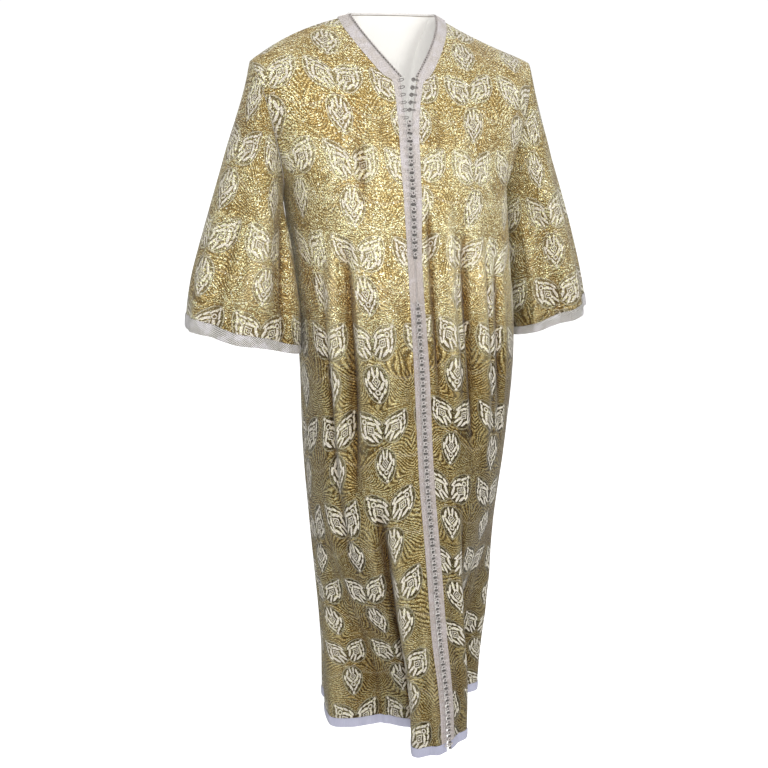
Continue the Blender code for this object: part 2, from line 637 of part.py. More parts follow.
def front_line(drop):
    """Middle of the front opening, just above the cloth, from the two edges."""
    ends = []
    for side in ("right", "left"):
        p = PANELS[side][0][:, 0]
        ends.append(np.stack([np.interp(drop, -p[NECK_ROWS:, 2], p[NECK_ROWS:, j])
                              for j in range(3)], -1))
    mid = 0.5 * (ends[0] + ends[1])
    mid[:, 1] -= BEAD_UP
    return mid


GOLD = (0.50, 0.36, 0.12)
BRAID = (0.72, 0.68, 0.66)
HEMCOL = (0.68, 0.70, 0.84)
BEAD = (0.78, 0.75, 0.72)

# ---------------------------------------------------------------- grids
BAND_COLS, FRONT_COLS = 2, 13
BACK_NECK_COLS, BACK_SIDE_COLS = 6, 7
TOP_ROWS = 10
LOW_ROWS = 15


def front_cols():
    k = np.concatenate([np.linspace(0, 1, BAND_COLS + 1), np.ones(FRONT_COLS)])
    g = np.concatenate([np.zeros(BAND_COLS + 1), np.linspace(0, 1, FRONT_COLS + 1)[1:]])
    return k, g


def back_cols():
    a = np.linspace(0.0, BACK_SHOULDER, BACK_SIDE_COLS + 1)
    b = np.linspace(BACK_SHOULDER, 0.5, BACK_NECK_COLS + 1)[1:]
    f = np.concatenate([a, b])
    g = np.concatenate([f, 1.0 - f[-2::-1]])
    return np.zeros(len(g)), g


def rows_top(panel):
    if panel == "back":
        k = np.linspace(0.0, 1.0, TOP_ROWS + 1)
        return 0.6 * k + 0.4 * k * k
    n = TOP_ROWS // 2
    return np.concatenate([np.linspace(0.0, NECK_SHARE, n + 1),
                           np.linspace(NECK_SHARE, 1.0, TOP_ROWS - n + 1)[1:]])


def rows_low():
    d = np.linspace(ARMHOLE_LOW[1], HEM_DROP - HEM_BRAID, LOW_ROWS + 1)[1:]
    return np.append(d, HEM_DROP)


def trim_edges(p, left, right, top):
    """Pull the edges of a grid in, along the cloth, by the seam clearance."""
    q = p.copy()
    if left:
        q[:, 0] += unit(p[:, 1] - p[:, 0]) * left
    if right:
        q[:, -1] += unit(p[:, -2] - p[:, -1]) * right
    if top:
        q[0] += unit(p[1] - p[0]) * top
    return q


def mitre(panel, n, cols):
    """Wall directions along the shoulder and side seams, shared by both panels."""
    n = n.copy()
    if panel == "back":
        ridge = np.minimum(cols[1], 1 - cols[1]) <= BACK_SHOULDER + 1e-9
        sides = [0, -1]
    else:
        ridge = np.ones(n.shape[1], bool)
        sides = [-1]
    for c in np.nonzero(ridge)[0]:
        v = n[0, c].copy()
        v[1] = 0.0
        n[0, c] = unit(v)
    low = slice(TOP_ROWS, None)
    for c in sides:
        v = n[low, c].copy()
        v[:, 1:] = 0.0
        n[low, c] = unit(v)
    return n


def panel_wall(name, panel):
    cols = back_cols() if panel == "back" else front_cols()
    p = body_panel(panel, cols, rows_top(panel), rows_low())
    n = mitre(panel, grid_normals(p, panel == "left"), cols)
    half = 0.5 * SEAM + 0.00005
    outer = trim_edges(p, half if panel == "back" else 0.0, half, half)
    v, f = sheet_solid(outer, outer - n * WALL)
    add(name, v, f, GOLD, 0.38, 0.65)
    return outer, n


def braid(name, p, n, colour, wrap=False):
    lo = p + n * BRAID_LIFT
    hi = p + n * (BRAID_LIFT + BRAID_THICK)
    v, f = sheet_solid(hi, lo, wrap=wrap)
    return add(name, v, f, colour, 0.55, 0.15)


def pull_in(p, amount, axis_first, axis_last):
    """Shorten a strip's ends along the cloth."""
    q = p.copy()
    if axis_first:
        q[0] += unit(p[1] - p[0]) * amount
    if axis_last:
        q[-1] += unit(p[-2] - p[-1]) * amount
    return q


# ---------------------------------------------------------------- build
PANELS = {}
for _name, _panel in (("front_right", "right"), ("front_left", "left"), ("back", "back")):
    PANELS[_panel] = panel_wall(_name, _panel)

NECK_ROWS = TOP_ROWS // 2
B = BAND_COLS + 1
for _side in ("right", "left"):
    _p, _n = PANELS[_side]
    braid("neck_braid_" + _side, pull_in(_p[:NECK_ROWS + 1, :B], 0.5 * SEAM, False, True),
          _n[:NECK_ROWS + 1, :B], BRAID)
    braid("front_braid_" + _side,
          pull_in(_p[NECK_ROWS:-1, :B], 0.5 * SEAM, True, True), _n[NECK_ROWS:-1, :B], BRAID)
    braid("hem_braid_front_" + _side, _p[-2:], _n[-2:], HEMCOL)
_p, _n = PANELS["back"]
braid("hem_braid_back", _p[-2:], _n[-2:], HEMCOL)

# Back neck: walk out from the neckline over the cloth.
_fine = back_top(np.linspace(0, 1, 161), np.linspace(0, 1, 81))[0]
_fine_n = grid_normals(_fine, False)
_k = np.linspace(0.0, 1.0, 13)
_walk, _way = walk_from_neck(neck_back(_k), _fine, _fine_n, NECK_BRAID, 4)
_walk[0, :, 1] += 0.5 * SEAM + 0.0001
_walk[-1, :, 1] += 0.5 * SEAM + 0.0001
_lift = surface_normals(_walk, _fine, _fine_n)
_lift[0] = unit(_lift[0] * np.array([1.0, 0.0, 1.0]))
_lift[-1] = unit(_lift[-1] * np.array([1.0, 0.0, 1.0]))
_lo, _hi = _walk + _lift * BACK_NECK_LIFT, _walk + _lift * (BACK_NECK_LIFT + BRAID_THICK)
_v, _f = sheet_solid(_hi, _lo)
add("neck_braid_back", _v, _f, BRAID, 0.55, 0.15)

# Knotted edging cord inside the neckline, from front corner to front corner.
_path = []
for _side in ("right", "left"):
    _p, _n = PANELS[_side]
    _out = unit(_p[:NECK_ROWS + 1, 1] - _p[:NECK_ROWS + 1, 0])
    _pts = _p[:NECK_ROWS + 1, 0] - _out * (EDGE_CORD_R + 0.0006) + _n[:NECK_ROWS + 1, 0] * 0.0004
    _path.append(_pts)
_mid = neck_back(_k) - _way * (EDGE_CORD_R + 0.0012) + _lift[:, 0] * 0.0004
_path = np.concatenate([_path[0][::-1], _mid[1:-1], _path[1]])
_v, _f = tube(_path, [EDGE_CORD_R] * len(_path), 6)
add("neck_edging", _v, _f, BEAD, 0.5, 0.3)

# Loop strips, on the wearer's right braid beside the opening.
_p, _n = PANELS["right"]
_drop = -_p[:, 0, 2]
for _name, _from, _to in (("loops_upper",) + BUTTONS_OPEN_TO_CHEST, ("loops_lower",) + BUTTONS_LOWER):
    _rows = np.nonzero((_drop >= _from) & (_drop <= _to))[0]
    _rows = _rows[_rows > NECK_ROWS]
    _a = _p[_rows, 0] * 0.97 + _p[_rows, 1] * 0.03
    _b = _p[_rows, 0] * 0.62 + _p[_rows, 1] * 0.38
    _na = unit(_n[_rows, 0] * 0.97 + _n[_rows, 1] * 0.03)
    _nb = unit(_n[_rows, 0] * 0.62 + _n[_rows, 1] * 0.38)
    _base = BRAID_LIFT + BRAID_THICK + 0.0004
    _lo = np.stack([_a + _na * _base, _b + _nb * _base], 1)
    _hi = np.stack([_a + _na * (_base + LOOP_THICK), _b + _nb * (_base + LOOP_THICK)], 1)
    _v, _f = sheet_solid(_hi, _lo)
    add(_name, _v, _f, BEAD, 0.5, 0.3)

# Rows of fastened knotted buttons, each row one string of beads.
for _name, _from, _to in (("buttons_chest",) + BUTTONS_CHEST, ("buttons_lower",) + BUTTONS_LOWER):
    _count = int(round((_to - _from) / BEAD_PITCH))
    _d = _from + (_to - _from) * np.arange(2 * _count + 1) / (2 * _count)
    _r = np.where(np.arange(2 * _count + 1) % 2 == 1, BEAD_R, BEAD_JOIN_R)
    _v, _f = tube(front_line(_d), _r, 6)
    add(_name, _v, _f, BEAD, 0.45, 0.3, sharp=80.0)

# Unfastened buttons, each on its stem from the wearer's left front edge.
for _i in range(OPEN_BUTTONS):
    _d = BUTTONS_OPEN_FROM + _i * BEAD_PITCH
    _v0 = NECK_SHARE + (1 - NECK_SHARE) * (_d - NECK_FRONT[2]) / (ARMHOLE_LOW[1] - NECK_FRONT[2])
    _e = front_edge("left", np.array([_v0]))[0]
    _steps = np.array([0.0006, 0.0022, 0.0026, 0.0040, 0.0062, 0.0084, 0.0096])
    _radii = [0.0008, 0.0008, 0.0020, 0.0036, 0.0041, 0.0034, 0.0012]
    _dir = unit(np.array([-1.0, -0.25, -0.05]))
    _v, _f = tube(_e[None] + _dir[None] * _steps[:, None], _radii, 8)
    add("button_open_%d" % (_i + 1), _v, _f, BEAD, 0.45, 0.3, sharp=80.0)

for _side in ("right", "left"):
    _turn = np.linspace(0.0, 2 * math.pi, 25)[:-1]
    _t = np.append(np.linspace(0.0, 1.0 - 0.0155 / 0.30, 10), 1.0)
    _p = sleeve(_side, _turn, _t)
    _n = wrap_normals(_p, _side == "right")
    _n[0] = unit(_n[0] * np.array([0.15, 1.0, 1.0]))
    _v, _f = sheet_solid(_p, _p - _n * WALL, wrap=True)
    add("sleeve_" + _side, _v, _f, GOLD, 0.38, 0.65)
    braid("cuff_braid_" + _side, _p[-2:], _n[-2:], BRAID, wrap=True)
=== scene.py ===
import math

import bpy
import bmesh
import numpy as np
from mathutils import Matrix, Vector


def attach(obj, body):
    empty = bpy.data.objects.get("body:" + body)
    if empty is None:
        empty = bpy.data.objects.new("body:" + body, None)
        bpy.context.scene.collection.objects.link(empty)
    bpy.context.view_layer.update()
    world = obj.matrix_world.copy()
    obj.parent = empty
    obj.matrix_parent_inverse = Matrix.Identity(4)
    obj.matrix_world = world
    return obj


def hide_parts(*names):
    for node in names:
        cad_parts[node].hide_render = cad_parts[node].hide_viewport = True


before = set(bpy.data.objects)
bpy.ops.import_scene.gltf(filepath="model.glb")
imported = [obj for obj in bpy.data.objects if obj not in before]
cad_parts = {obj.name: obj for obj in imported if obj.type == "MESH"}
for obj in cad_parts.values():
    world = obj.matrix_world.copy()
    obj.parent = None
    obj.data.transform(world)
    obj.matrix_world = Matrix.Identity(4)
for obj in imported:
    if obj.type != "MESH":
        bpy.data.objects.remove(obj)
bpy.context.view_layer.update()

# ---------------------------------------------------------------- sizes
WALL = 0.0012            # brocade wall
SEAM = 0.0003            # clearance at every seam
BRAID_LIFT = 0.0003      # clearance between cloth and braid
BRAID_THICK = 0.0014     # woven braid
FRONT_BRAID = 0.0125     # width of the braid down each front edge
NECK_BRAID = 0.0205      # width round the neck
CUFF_BRAID = 0.0165      # width round the cuffs
HEM_BRAID = 0.0190       # width round the hem

NECK_HALF = 0.080        # side-neck point, sideways
NECK_FRONT = (0.0155, -0.100, 0.106)    # front neck corner: sideways, depth, drop
NECK_CURVE = (0.0760, -0.050, 0.030)    # pull point of the neck curve
NECK_BACK = (0.058, -0.004)             # back neck: depth, drop
SHOULDER_HALF = 0.257
SHOULDER_DROP = 0.078
ARMHOLE_LOW = (0.205, 0.300)            # armpit: sideways, drop
ARMHOLE_DEEP = 0.062                    # armhole, front to middle
HEM_DROP = 1.345
BACK_NECK_LIFT = 0.0034  # the back neck braid lies a little freer
BEAD_PITCH = 0.0124      # one knotted button to the next
BEAD_R = 0.0040
BEAD_JOIN_R = 0.0013
BEAD_UP = 0.0010         # button centre in front of the cloth
LOOP_THICK = 0.0012
EDGE_CORD_R = 0.0012     # edging cord round the neck
BUTTONS_CHEST = (0.176, 0.405)          # drops of the fastened rows
BUTTONS_LOWER = (0.480, 1.334)
BUTTONS_OPEN_TO_CHEST = (0.106, 0.405)
BUTTONS_OPEN_FROM = 0.112
OPEN_BUTTONS = 5

# Horizontal sections of the body.  x is sideways, y is depth, p is the
# squareness of each quarter (2 is an ellipse).
SECTION_COLUMNS = ("drop", "x_front", "y_front", "x_right", "y_right", "x_left",
                   "y_left", "x_back", "y_back", "p_right", "p_left", "p_back")
SECTIONS = (
    (0.300, -0.017, -0.184, -0.205, 0.000, 0.205, 0.000, 0.000, 0.118, 2.5, 2.5, 2.4),
    (0.420, -0.015, -0.194, -0.191, -0.004, 0.210, -0.010, 0.004, 0.120, 2.4, 2.5, 2.3),
    (0.600, -0.003, -0.197, -0.180, -0.010, 0.221, -0.020, 0.010, 0.122, 2.3, 2.4, 2.2),
    (0.800, 0.007, -0.200, -0.174, -0.010, 0.205, -0.026, 0.014, 0.130, 2.2, 2.2, 2.1),
    (0.960, 0.021, -0.202, -0.162, -0.010, 0.195, -0.002, 0.018, 0.138, 2.1, 1.9, 2.1),
    (1.110, 0.033, -0.205, -0.149, -0.014, 0.196, 0.026, 0.024, 0.148, 1.9, 1.6, 2.1),
    (1.240, 0.048, -0.207, -0.144, -0.022, 0.198, 0.058, 0.030, 0.158, 1.7, 1.4, 2.1),
    (1.345, 0.054, -0.208, -0.141, -0.030, 0.201, 0.080, 0.032, 0.166, 1.6, 1.3, 2.1),
)

# Middle of the front opening above the armpit level.
FRONT_EDGE_COLUMNS = ("drop", "x_front", "y_front")
FRONT_EDGE = (
    (0.106, 0.0000, -0.1000), (0.170, -0.0092, -0.1320),
    (0.235, -0.0150, -0.1620), (0.300, -0.0170, -0.1840),
)
NECK_SHARE = 0.45        # share of the upper front's edge that is neckline

# Half of the gap between the two front edges.
OPENING_COLUMNS = ("drop", "half_gap")
OPENING = (
    (0.106, 0.0155), (0.145, 0.0105), (0.175, 0.0066), (0.210, 0.0051),
    (0.250, 0.0050), (0.300, 0.0050), (0.400, 0.0050), (0.550, 0.0050),
    (0.800, 0.0050), (1.100, 0.0050), (1.345, 0.0050),
)

# Folds of the body.  "at" is the distance round the cloth from the front edge
# (front panels) or from the right side seam (back) at the fold's two ends;
# height is outward (+) or inward (-); "near" and "far" are the widths of its
# two soft sides, and "flat" is the half width of its level middle.
FOLD_COLUMNS = ("panel", "at_top", "at_low", "drop_top", "drop_low", "fade_in",
                "fade_out", "height", "near", "far", "flat")
FOLDS = (
    # wearer's right front
    ("right", 0.089, 0.087, 0.150, 0.330, 0.070, 0.090, -0.0060, 0.022, 0.022, 0.000),
    ("right", 0.120, 0.134, 0.340, 0.900, 0.120, 0.200, -0.0140, 0.015, 0.022, 0.003),
    ("right", 0.152, 0.166, 0.360, 0.900, 0.120, 0.240, 0.0070, 0.018, 0.020, 0.000),
    ("right", 0.062, 0.052, 0.360, 1.000, 0.160, 0.300, 0.0070, 0.034, 0.034, 0.000),
    ("right", 0.186, 0.163, 0.560, 1.080, 0.160, 0.240, -0.0080, 0.020, 0.020, 0.000),
    ("right", 0.096, 0.071, 0.800, 1.420, 0.160, 0.300, -0.0200, 0.018, 0.026, 0.002),
    ("right", 0.148, 0.139, 0.880, 1.420, 0.430, 0.001, -0.0930, 0.026, 0.085, 0.045),
    ("right", 0.037, 0.019, 0.960, 1.420, 0.200, 0.001, 0.0080, 0.020, 0.026, 0.000),
    # wearer's left front
    ("left", 0.029, 0.032, 0.280, 0.720, 0.100, 0.180, -0.0070, 0.011, 0.013, 0.000),
    ("left", 0.063, 0.063, 0.280, 0.760, 0.120, 0.200, 0.0100, 0.018, 0.018, 0.000),
    ("left", 0.095, 0.096, 0.330, 0.800, 0.120, 0.200, -0.0100, 0.016, 0.014, 0.000),
    ("left", 0.125, 0.127, 0.330, 0.860, 0.120, 0.240, 0.0110, 0.018, 0.020, 0.000),
    ("left", 0.171, 0.170, 0.350, 0.800, 0.120, 0.200, -0.0080, 0.020, 0.020, 0.000),
    ("left", 0.056, 0.056, 0.800, 1.420, 0.240, 0.001, 0.0100, 0.024, 0.012, 0.002),
    ("left", 0.104, 0.134, 0.860, 1.420, 0.400, 0.001, -0.0700, 0.036, 0.075, 0.030),
    ("left", 0.202, 0.226, 0.900, 1.420, 0.300, 0.001, 0.0080, 0.024, 0.024, 0.000),
    # back
    ("back", 0.120, 0.110, 0.340, 1.420, 0.200, 0.001, 0.0130, 0.028, 0.028, 0.000),
    ("back", 0.190, 0.176, 0.420, 1.420, 0.240, 0.001, -0.0190, 0.030, 0.026, 0.004),
    ("back", 0.262, 0.262, 0.300, 1.420, 0.240, 0.001, 0.0150, 0.030, 0.034, 0.004),
    ("back", 0.340, 0.356, 0.380, 1.420, 0.240, 0.001, -0.0200, 0.030, 0.032, 0.004),
    ("back", 0.420, 0.440, 0.460, 1.420, 0.240, 0.001, 0.0140, 0.028, 0.026, 0.000),
    ("back", 0.060, 0.056, 0.700, 1.420, 0.240, 0.001, -0.0100, 0.022, 0.022, 0.000),
    ("back", 0.500, 0.520, 0.760, 1.420, 0.240, 0.001, -0.0090, 0.024, 0.024, 0.000),
)

# How much lower (+) or higher (-) the hem hangs at a distance round each front.
HEM_DIP_COLUMNS = ("at", "right", "left")
HEM_DIPS = (
    (0.000, -0.0029, -0.0050), (0.019, -0.0010, -0.0050), (0.040, 0.0051, -0.0055),
    (0.064, 0.0120, -0.0062), (0.084, 0.0080, -0.0075), (0.104, 0.0040, -0.0089),
    (0.125, 0.0048, -0.0109), (0.146, 0.0055, -0.0130), (0.180, 0.0065, -0.0155),
    (0.201, 0.0070, -0.0170), (0.260, 0.0072, -0.0177), (0.281, 0.0064, -0.0180),
    (0.340, 0.0043, -0.0158), (0.361, 0.0037, -0.0150), (0.500, 0.0000, -0.0098),
)
HEM_DIP_FROM = 0.72

# The end ring of each sleeve: middle, half sizes, and how much lower the
# inner side hangs than the outer side.
CUFF_COLUMNS = ("side", "x", "y", "drop", "half_wide", "half_deep", "tilt", "square")
CUFFS = (
    ("right", -0.2870, -0.028, 0.5640, 0.0990, 0.070, 0.0275, 2.5),
    ("left", 0.3065, -0.010, 0.5565, 0.0770, 0.076, 0.0265, 2.2),
)

# Folds of the sleeves.  "turn" is the angle round the sleeve in degrees: 0 is
# the outer side, 90 the front, 180 the side next to the body, 270 the back.
SLEEVE_FOLD_COLUMNS = ("side", "turn_top", "turn_low", "from_t", "to_t", "fade",
                       "height", "round")
SLEEVE_FOLDS = (
    ("right", 128, 112, 0.10, 0.95, 0.25, -0.0080, 17),
    ("right", 96, 78, 0.18, 1.30, 0.25, 0.0070, 18),
    ("right", 62, 44, 0.30, 1.30, 0.30, -0.0060, 16),
    ("right", 30, 22, 0.20, 1.30, 0.30, 0.0040, 16),
    ("right", 4, 4, 0.00, 1.12, 0.36, 0.0110, 30),
    ("right", 166, 162, 0.16, 1.06, 0.22, 0.0075, 24),
    ("right", 150, 148, 0.06, 0.90, 0.20, 0.0065, 15),
    ("right", 300, 310, 0.25, 1.30, 0.30, -0.0070, 18),
    ("right", 262, 256, 0.15, 1.30, 0.30, 0.0060, 18),
    ("right", 226, 222, 0.25, 1.30, 0.30, -0.0060, 16),
    ("left", 112, 100, 0.10, 1.30, 0.25, -0.0070, 16),
    ("left", 78, 66, 0.18, 1.30, 0.25, 0.0070, 16),
    ("left", 46, 38, 0.25, 1.30, 0.30, -0.0060, 15),
    ("left", 300, 306, 0.20, 1.30, 0.30, -0.0070, 18),
    ("left", 262, 258, 0.15, 1.30, 0.30, 0.0060, 18),
    ("left", 226, 220, 0.25, 1.30, 0.30, -0.0060, 16),
)

SHOULDER_SAG = {"right": -0.0055, "left": 0.0085}   # how far each shoulder line dips midway
BACK_SHOULDER = 0.345    # share of the back's top edge along each shoulder


# ---------------------------------------------------------------- small maths
def smooth(x):
    x = np.clip(x, 0.0, 1.0)
    return x * x * (3.0 - 2.0 * x)


def spline(xs, ys, x):
    """Smooth curve through the rows of a table."""
    xs, ys, x = np.asarray(xs, float), np.asarray(ys, float), np.asarray(x, float)
    slope = np.gradient(ys, xs)
    x = np.clip(x, xs[0], None)
    i = np.clip(np.searchsorted(xs, x, side="right") - 1, 0, len(xs) - 2)
    h = xs[i + 1] - xs[i]
    t = np.clip((x - xs[i]) / h, 0.0, 1.0)
    over = np.clip(x - xs[-1], 0.0, None)
    t2, t3 = t * t, t * t * t
    return ((2 * t3 - 3 * t2 + 1) * ys[i] + (t3 - 2 * t2 + t) * h * slope[i]
            + (3 * t2 - 2 * t3) * ys[i + 1] + (t3 - t2) * h * slope[i + 1]
            + over * slope[-1])


def column(table, names, name, x, key="drop"):
    k, j = names.index(key), names.index(name)
    return spline([r[k] for r in table], [r[j] for r in table], x)


def unit(v):
    n = np.linalg.norm(v, axis=-1, keepdims=True)
    return v / np.maximum(n, 1e-12)


def hermite(a, ma, b, mb, t):
    t2, t3 = t * t, t * t * t
    return ((2 * t3 - 3 * t2 + 1) * a + (t3 - 2 * t2 + t) * ma
            + (3 * t2 - 2 * t3) * b + (t3 - t2) * mb)


def bump(d, near, far, flat):
    """1 within flat of the middle, falling softly over near and far."""
    q = np.clip((np.abs(d) - flat) / np.where(d < 0.0, near, far), 0.0, 1.0)
    return 0.5 + 0.5 * np.cos(np.pi * q)


# ---------------------------------------------------------------- the body
def section(panel, drop, count=241):
    """One panel's horizontal section at each drop, as dense points (R, N, 2)."""
    drop = np.asarray(drop, float)[:, None]

    def c(name):
        return column(SECTIONS, SECTION_COLUMNS, name, drop)
    ang = np.linspace(0.0, 0.5 * math.pi, count)[None, :]
    sn, cs = np.sin(ang), np.cos(ang)
    if panel in ("right", "left"):
        xs, ys, p = c("x_" + panel), c("y_" + panel), c("p_" + panel)
        x = c("x_front") + (xs - c("x_front")) * sn ** (2.0 / p)
        y = ys + (c("y_front") - ys) * cs ** (2.0 / p)
    else:
        p, xb, yb = c("p_back"), c("x_back"), c("y_back")
        xr, yr, xl, yl = c("x_right"), c("y_right"), c("x_left"), c("y_left")
        x1 = xb + (xr - xb) * cs ** (2.0 / p)
        y1 = yr + (yb - yr) * sn ** (2.0 / p)
        x2 = xb + (xl - xb) * cs ** (2.0 / p)
        y2 = yl + (yb - yl) * sn ** (2.0 / p)
        x = np.concatenate([x1, x2[:, -2::-1]], 1)
        y = np.concatenate([y1, y2[:, -2::-1]], 1)
    return np.stack([x, y], -1)


def section_length(panel, drop):
    s = section(panel, drop)
    return np.linalg.norm(np.diff(s, axis=1), axis=2).sum(1)


def fold_height(panel, at, drop):
    """Outward shift of the cloth at a distance round the panel and a drop."""
    out = np.zeros(np.broadcast(at, drop).shape)
    for row in FOLDS:
        f = dict(zip(FOLD_COLUMNS, row))
        if f["panel"] != panel:
            continue
        k = np.clip((drop - f["drop_top"]) / (f["drop_low"] - f["drop_top"]), 0, 1)
        mid = f["at_top"] + (f["at_low"] - f["at_top"]) * k
        fade = (smooth((drop - f["drop_top"]) / f["fade_in"])
                * smooth((f["drop_low"] - drop) / f["fade_out"]))
        out += f["height"] * fade * bump(at - mid, f["near"], f["far"], f["flat"])
    return out


def seam_fade(panel, at, length):
    """Folds die out at the side seams and at the front edge."""
    side = smooth((length - at) / 0.040)
    if panel == "back":
        return side * smooth(at / 0.040)
    return side * smooth(at / 0.012)


def hem_dip(panel, at, drop, length):
    if panel == "back":
        return np.zeros_like(at)
    dip = column(HEM_DIPS, HEM_DIP_COLUMNS, panel, at, key="at")
    return (dip * smooth((length - at) / 0.070)
            * smooth((drop - HEM_DIP_FROM) / (HEM_DROP - HEM_DIP_FROM)))


def body_low(panel, cols, drop, folds=True):
    """Cloth points below the armpit.

    cols holds pairs (k, g): k is the share of the braid's width and g the share
    of what is left of the panel, so the cloth has points under the braid's edge.
    """
    dense = section(panel, drop)
    step = np.linalg.norm(np.diff(dense, axis=1), axis=2)
    arc = np.concatenate([np.zeros((len(dense), 1)), np.cumsum(step, 1)], 1)
    tang = unit(np.gradient(dense, axis=1))
    turn = 1.0 if panel == "left" else -1.0
    norm = np.stack([tang[..., 1], -tang[..., 0]], -1) * turn
    gap, band = np.zeros(len(dense)), 0.0
    if panel != "back":
        gap = column(OPENING, OPENING_COLUMNS, "half_gap", drop)
        band = FRONT_BRAID
    k, g = cols
    out = np.zeros((len(dense), len(k), 3))
    at_all = np.zeros((len(dense), len(k)))
    for r in range(len(dense)):
        length = arc[r, -1]
        at = gap[r] + k * band + g * (length - gap[r] - band)
        for j in range(2):
            out[r, :, j] = np.interp(at, arc[r], dense[r, :, j])
        n = unit(np.stack([np.interp(at, arc[r], norm[r, :, j]) for j in range(2)], -1))
        if folds:
            h = fold_height(panel, at, np.full_like(at, drop[r])) * seam_fade(panel, at, length)
            out[r, :, :2] += n * h[:, None]
        out[r, :, 2] = -drop[r] - hem_dip(panel, at, drop[r], length)
        at_all[r] = at
    return out, at_all


def armhole(side, angle, push=0.0):
    """Armhole edge.  angle 0 is the shoulder end, pi/2 the front, pi the armpit."""
    mid = 0.5 * (SHOULDER_DROP + ARMHOLE_LOW[1])
    half = 0.5 * (ARMHOLE_LOW[1] - SHOULDER_DROP)
    xm = 0.5 * (SHOULDER_HALF + ARMHOLE_LOW[0])
    xh = 0.5 * (SHOULDER_HALF - ARMHOLE_LOW[0])
    sign = -1.0 if side == "right" else 1.0
    x = sign * (xm + xh * np.cos(angle) + push)
    y = -ARMHOLE_DEEP * np.sin(angle)
    z = -(mid - half * np.cos(angle))
    return np.stack([x, y, z], -1)


def shoulder(side, k):
    """Shoulder line, k 0 at the neck and 1 at the shoulder end."""
    sign = -1.0 if side == "right" else 1.0
    x = NECK_HALF + (SHOULDER_HALF - NECK_HALF) * k
    z = -SHOULDER_DROP * (0.80 * k + 0.20 * k ** 3) - SHOULDER_SAG[side] * np.sin(np.pi * k)
    y = 0.004 * np.sin(np.pi * k)
    return np.stack([sign * x, y, z], -1)


def neck_front(side, k):
    """Front neckline, k 0 at the front corner and 1 at the side neck."""
    sign = -1.0 if side == "right" else 1.0
    a, b, e = NECK_FRONT, NECK_CURVE, (NECK_HALF, 0.0, 0.0)
    p = [(1 - k) ** 2 * a[i] + 2 * k * (1 - k) * b[i] + k * k * e[i] for i in range(3)]
    return np.stack([sign * p[0], p[1], -p[2]], -1)


def neck_back(k):
    """Back neckline from the right side neck (0) to the left side neck (1)."""
    ang = np.pi * k
    x = -NECK_HALF * np.cos(ang)
    y = NECK_BACK[0] * np.sin(ang) ** 0.8
    z = -NECK_BACK[1] * np.sin(ang)
    return np.stack([x, y, z], -1)


def top_line_back(share):
    """Top edge of the back and the way the cloth leaves it."""
    share = np.asarray(share, float)
    pts = np.zeros(share.shape + (3,))
    lead = np.zeros(share.shape + (3,))
    end_way = np.array([0.0, 0.90, -0.45])
    ridge_way = np.array([0.0, 0.97, -0.16])
    near = np.minimum(share, 1.0 - share)           # 0 at the shoulder end
    for side, mask in (("right", share < 0.5), ("left", share >= 0.5)):
        m = mask & (near <= BACK_SHOULDER)
        k = 1.0 - near[m] / BACK_SHOULDER
        pts[m] = shoulder(side, k)
        lead[m] = ridge_way * (1 - k[:, None]) + end_way * k[:, None]
        m = mask & (near > BACK_SHOULDER)
        k = (near[m] - BACK_SHOULDER) / (0.5 - BACK_SHOULDER)
        pts[m] = neck_back(0.5 * k if side == "right" else 1.0 - 0.5 * k)
        kk = smooth(1.4 * k)[:, None]
        lead[m] = ridge_way * (1 - kk) + np.array([0.0, 0.45, -0.89]) * kk
    return pts, unit(lead)


def front_edge(side, v):
    """Edge of a front panel: neckline, then down the opening, v 0..1."""
    v = np.asarray(v, float)
    sign = -1.0 if side == "right" else 1.0
    neck = neck_front(side, 1.0 - np.clip(v / NECK_SHARE, 0.0, 1.0))
    drop = NECK_FRONT[2] + (ARMHOLE_LOW[1] - NECK_FRONT[2]) * np.clip(
        (v - NECK_SHARE) / (1.0 - NECK_SHARE), 0.0, 1.0)
    x = column(FRONT_EDGE, FRONT_EDGE_COLUMNS, "x_front", drop) + \
        sign * column(OPENING, OPENING_COLUMNS, "half_gap", drop)
    y = column(FRONT_EDGE, FRONT_EDGE_COLUMNS, "y_front", drop)
    down = np.stack([x, y, -drop], -1)
    return np.where((v <= NECK_SHARE)[:, None], neck, down)


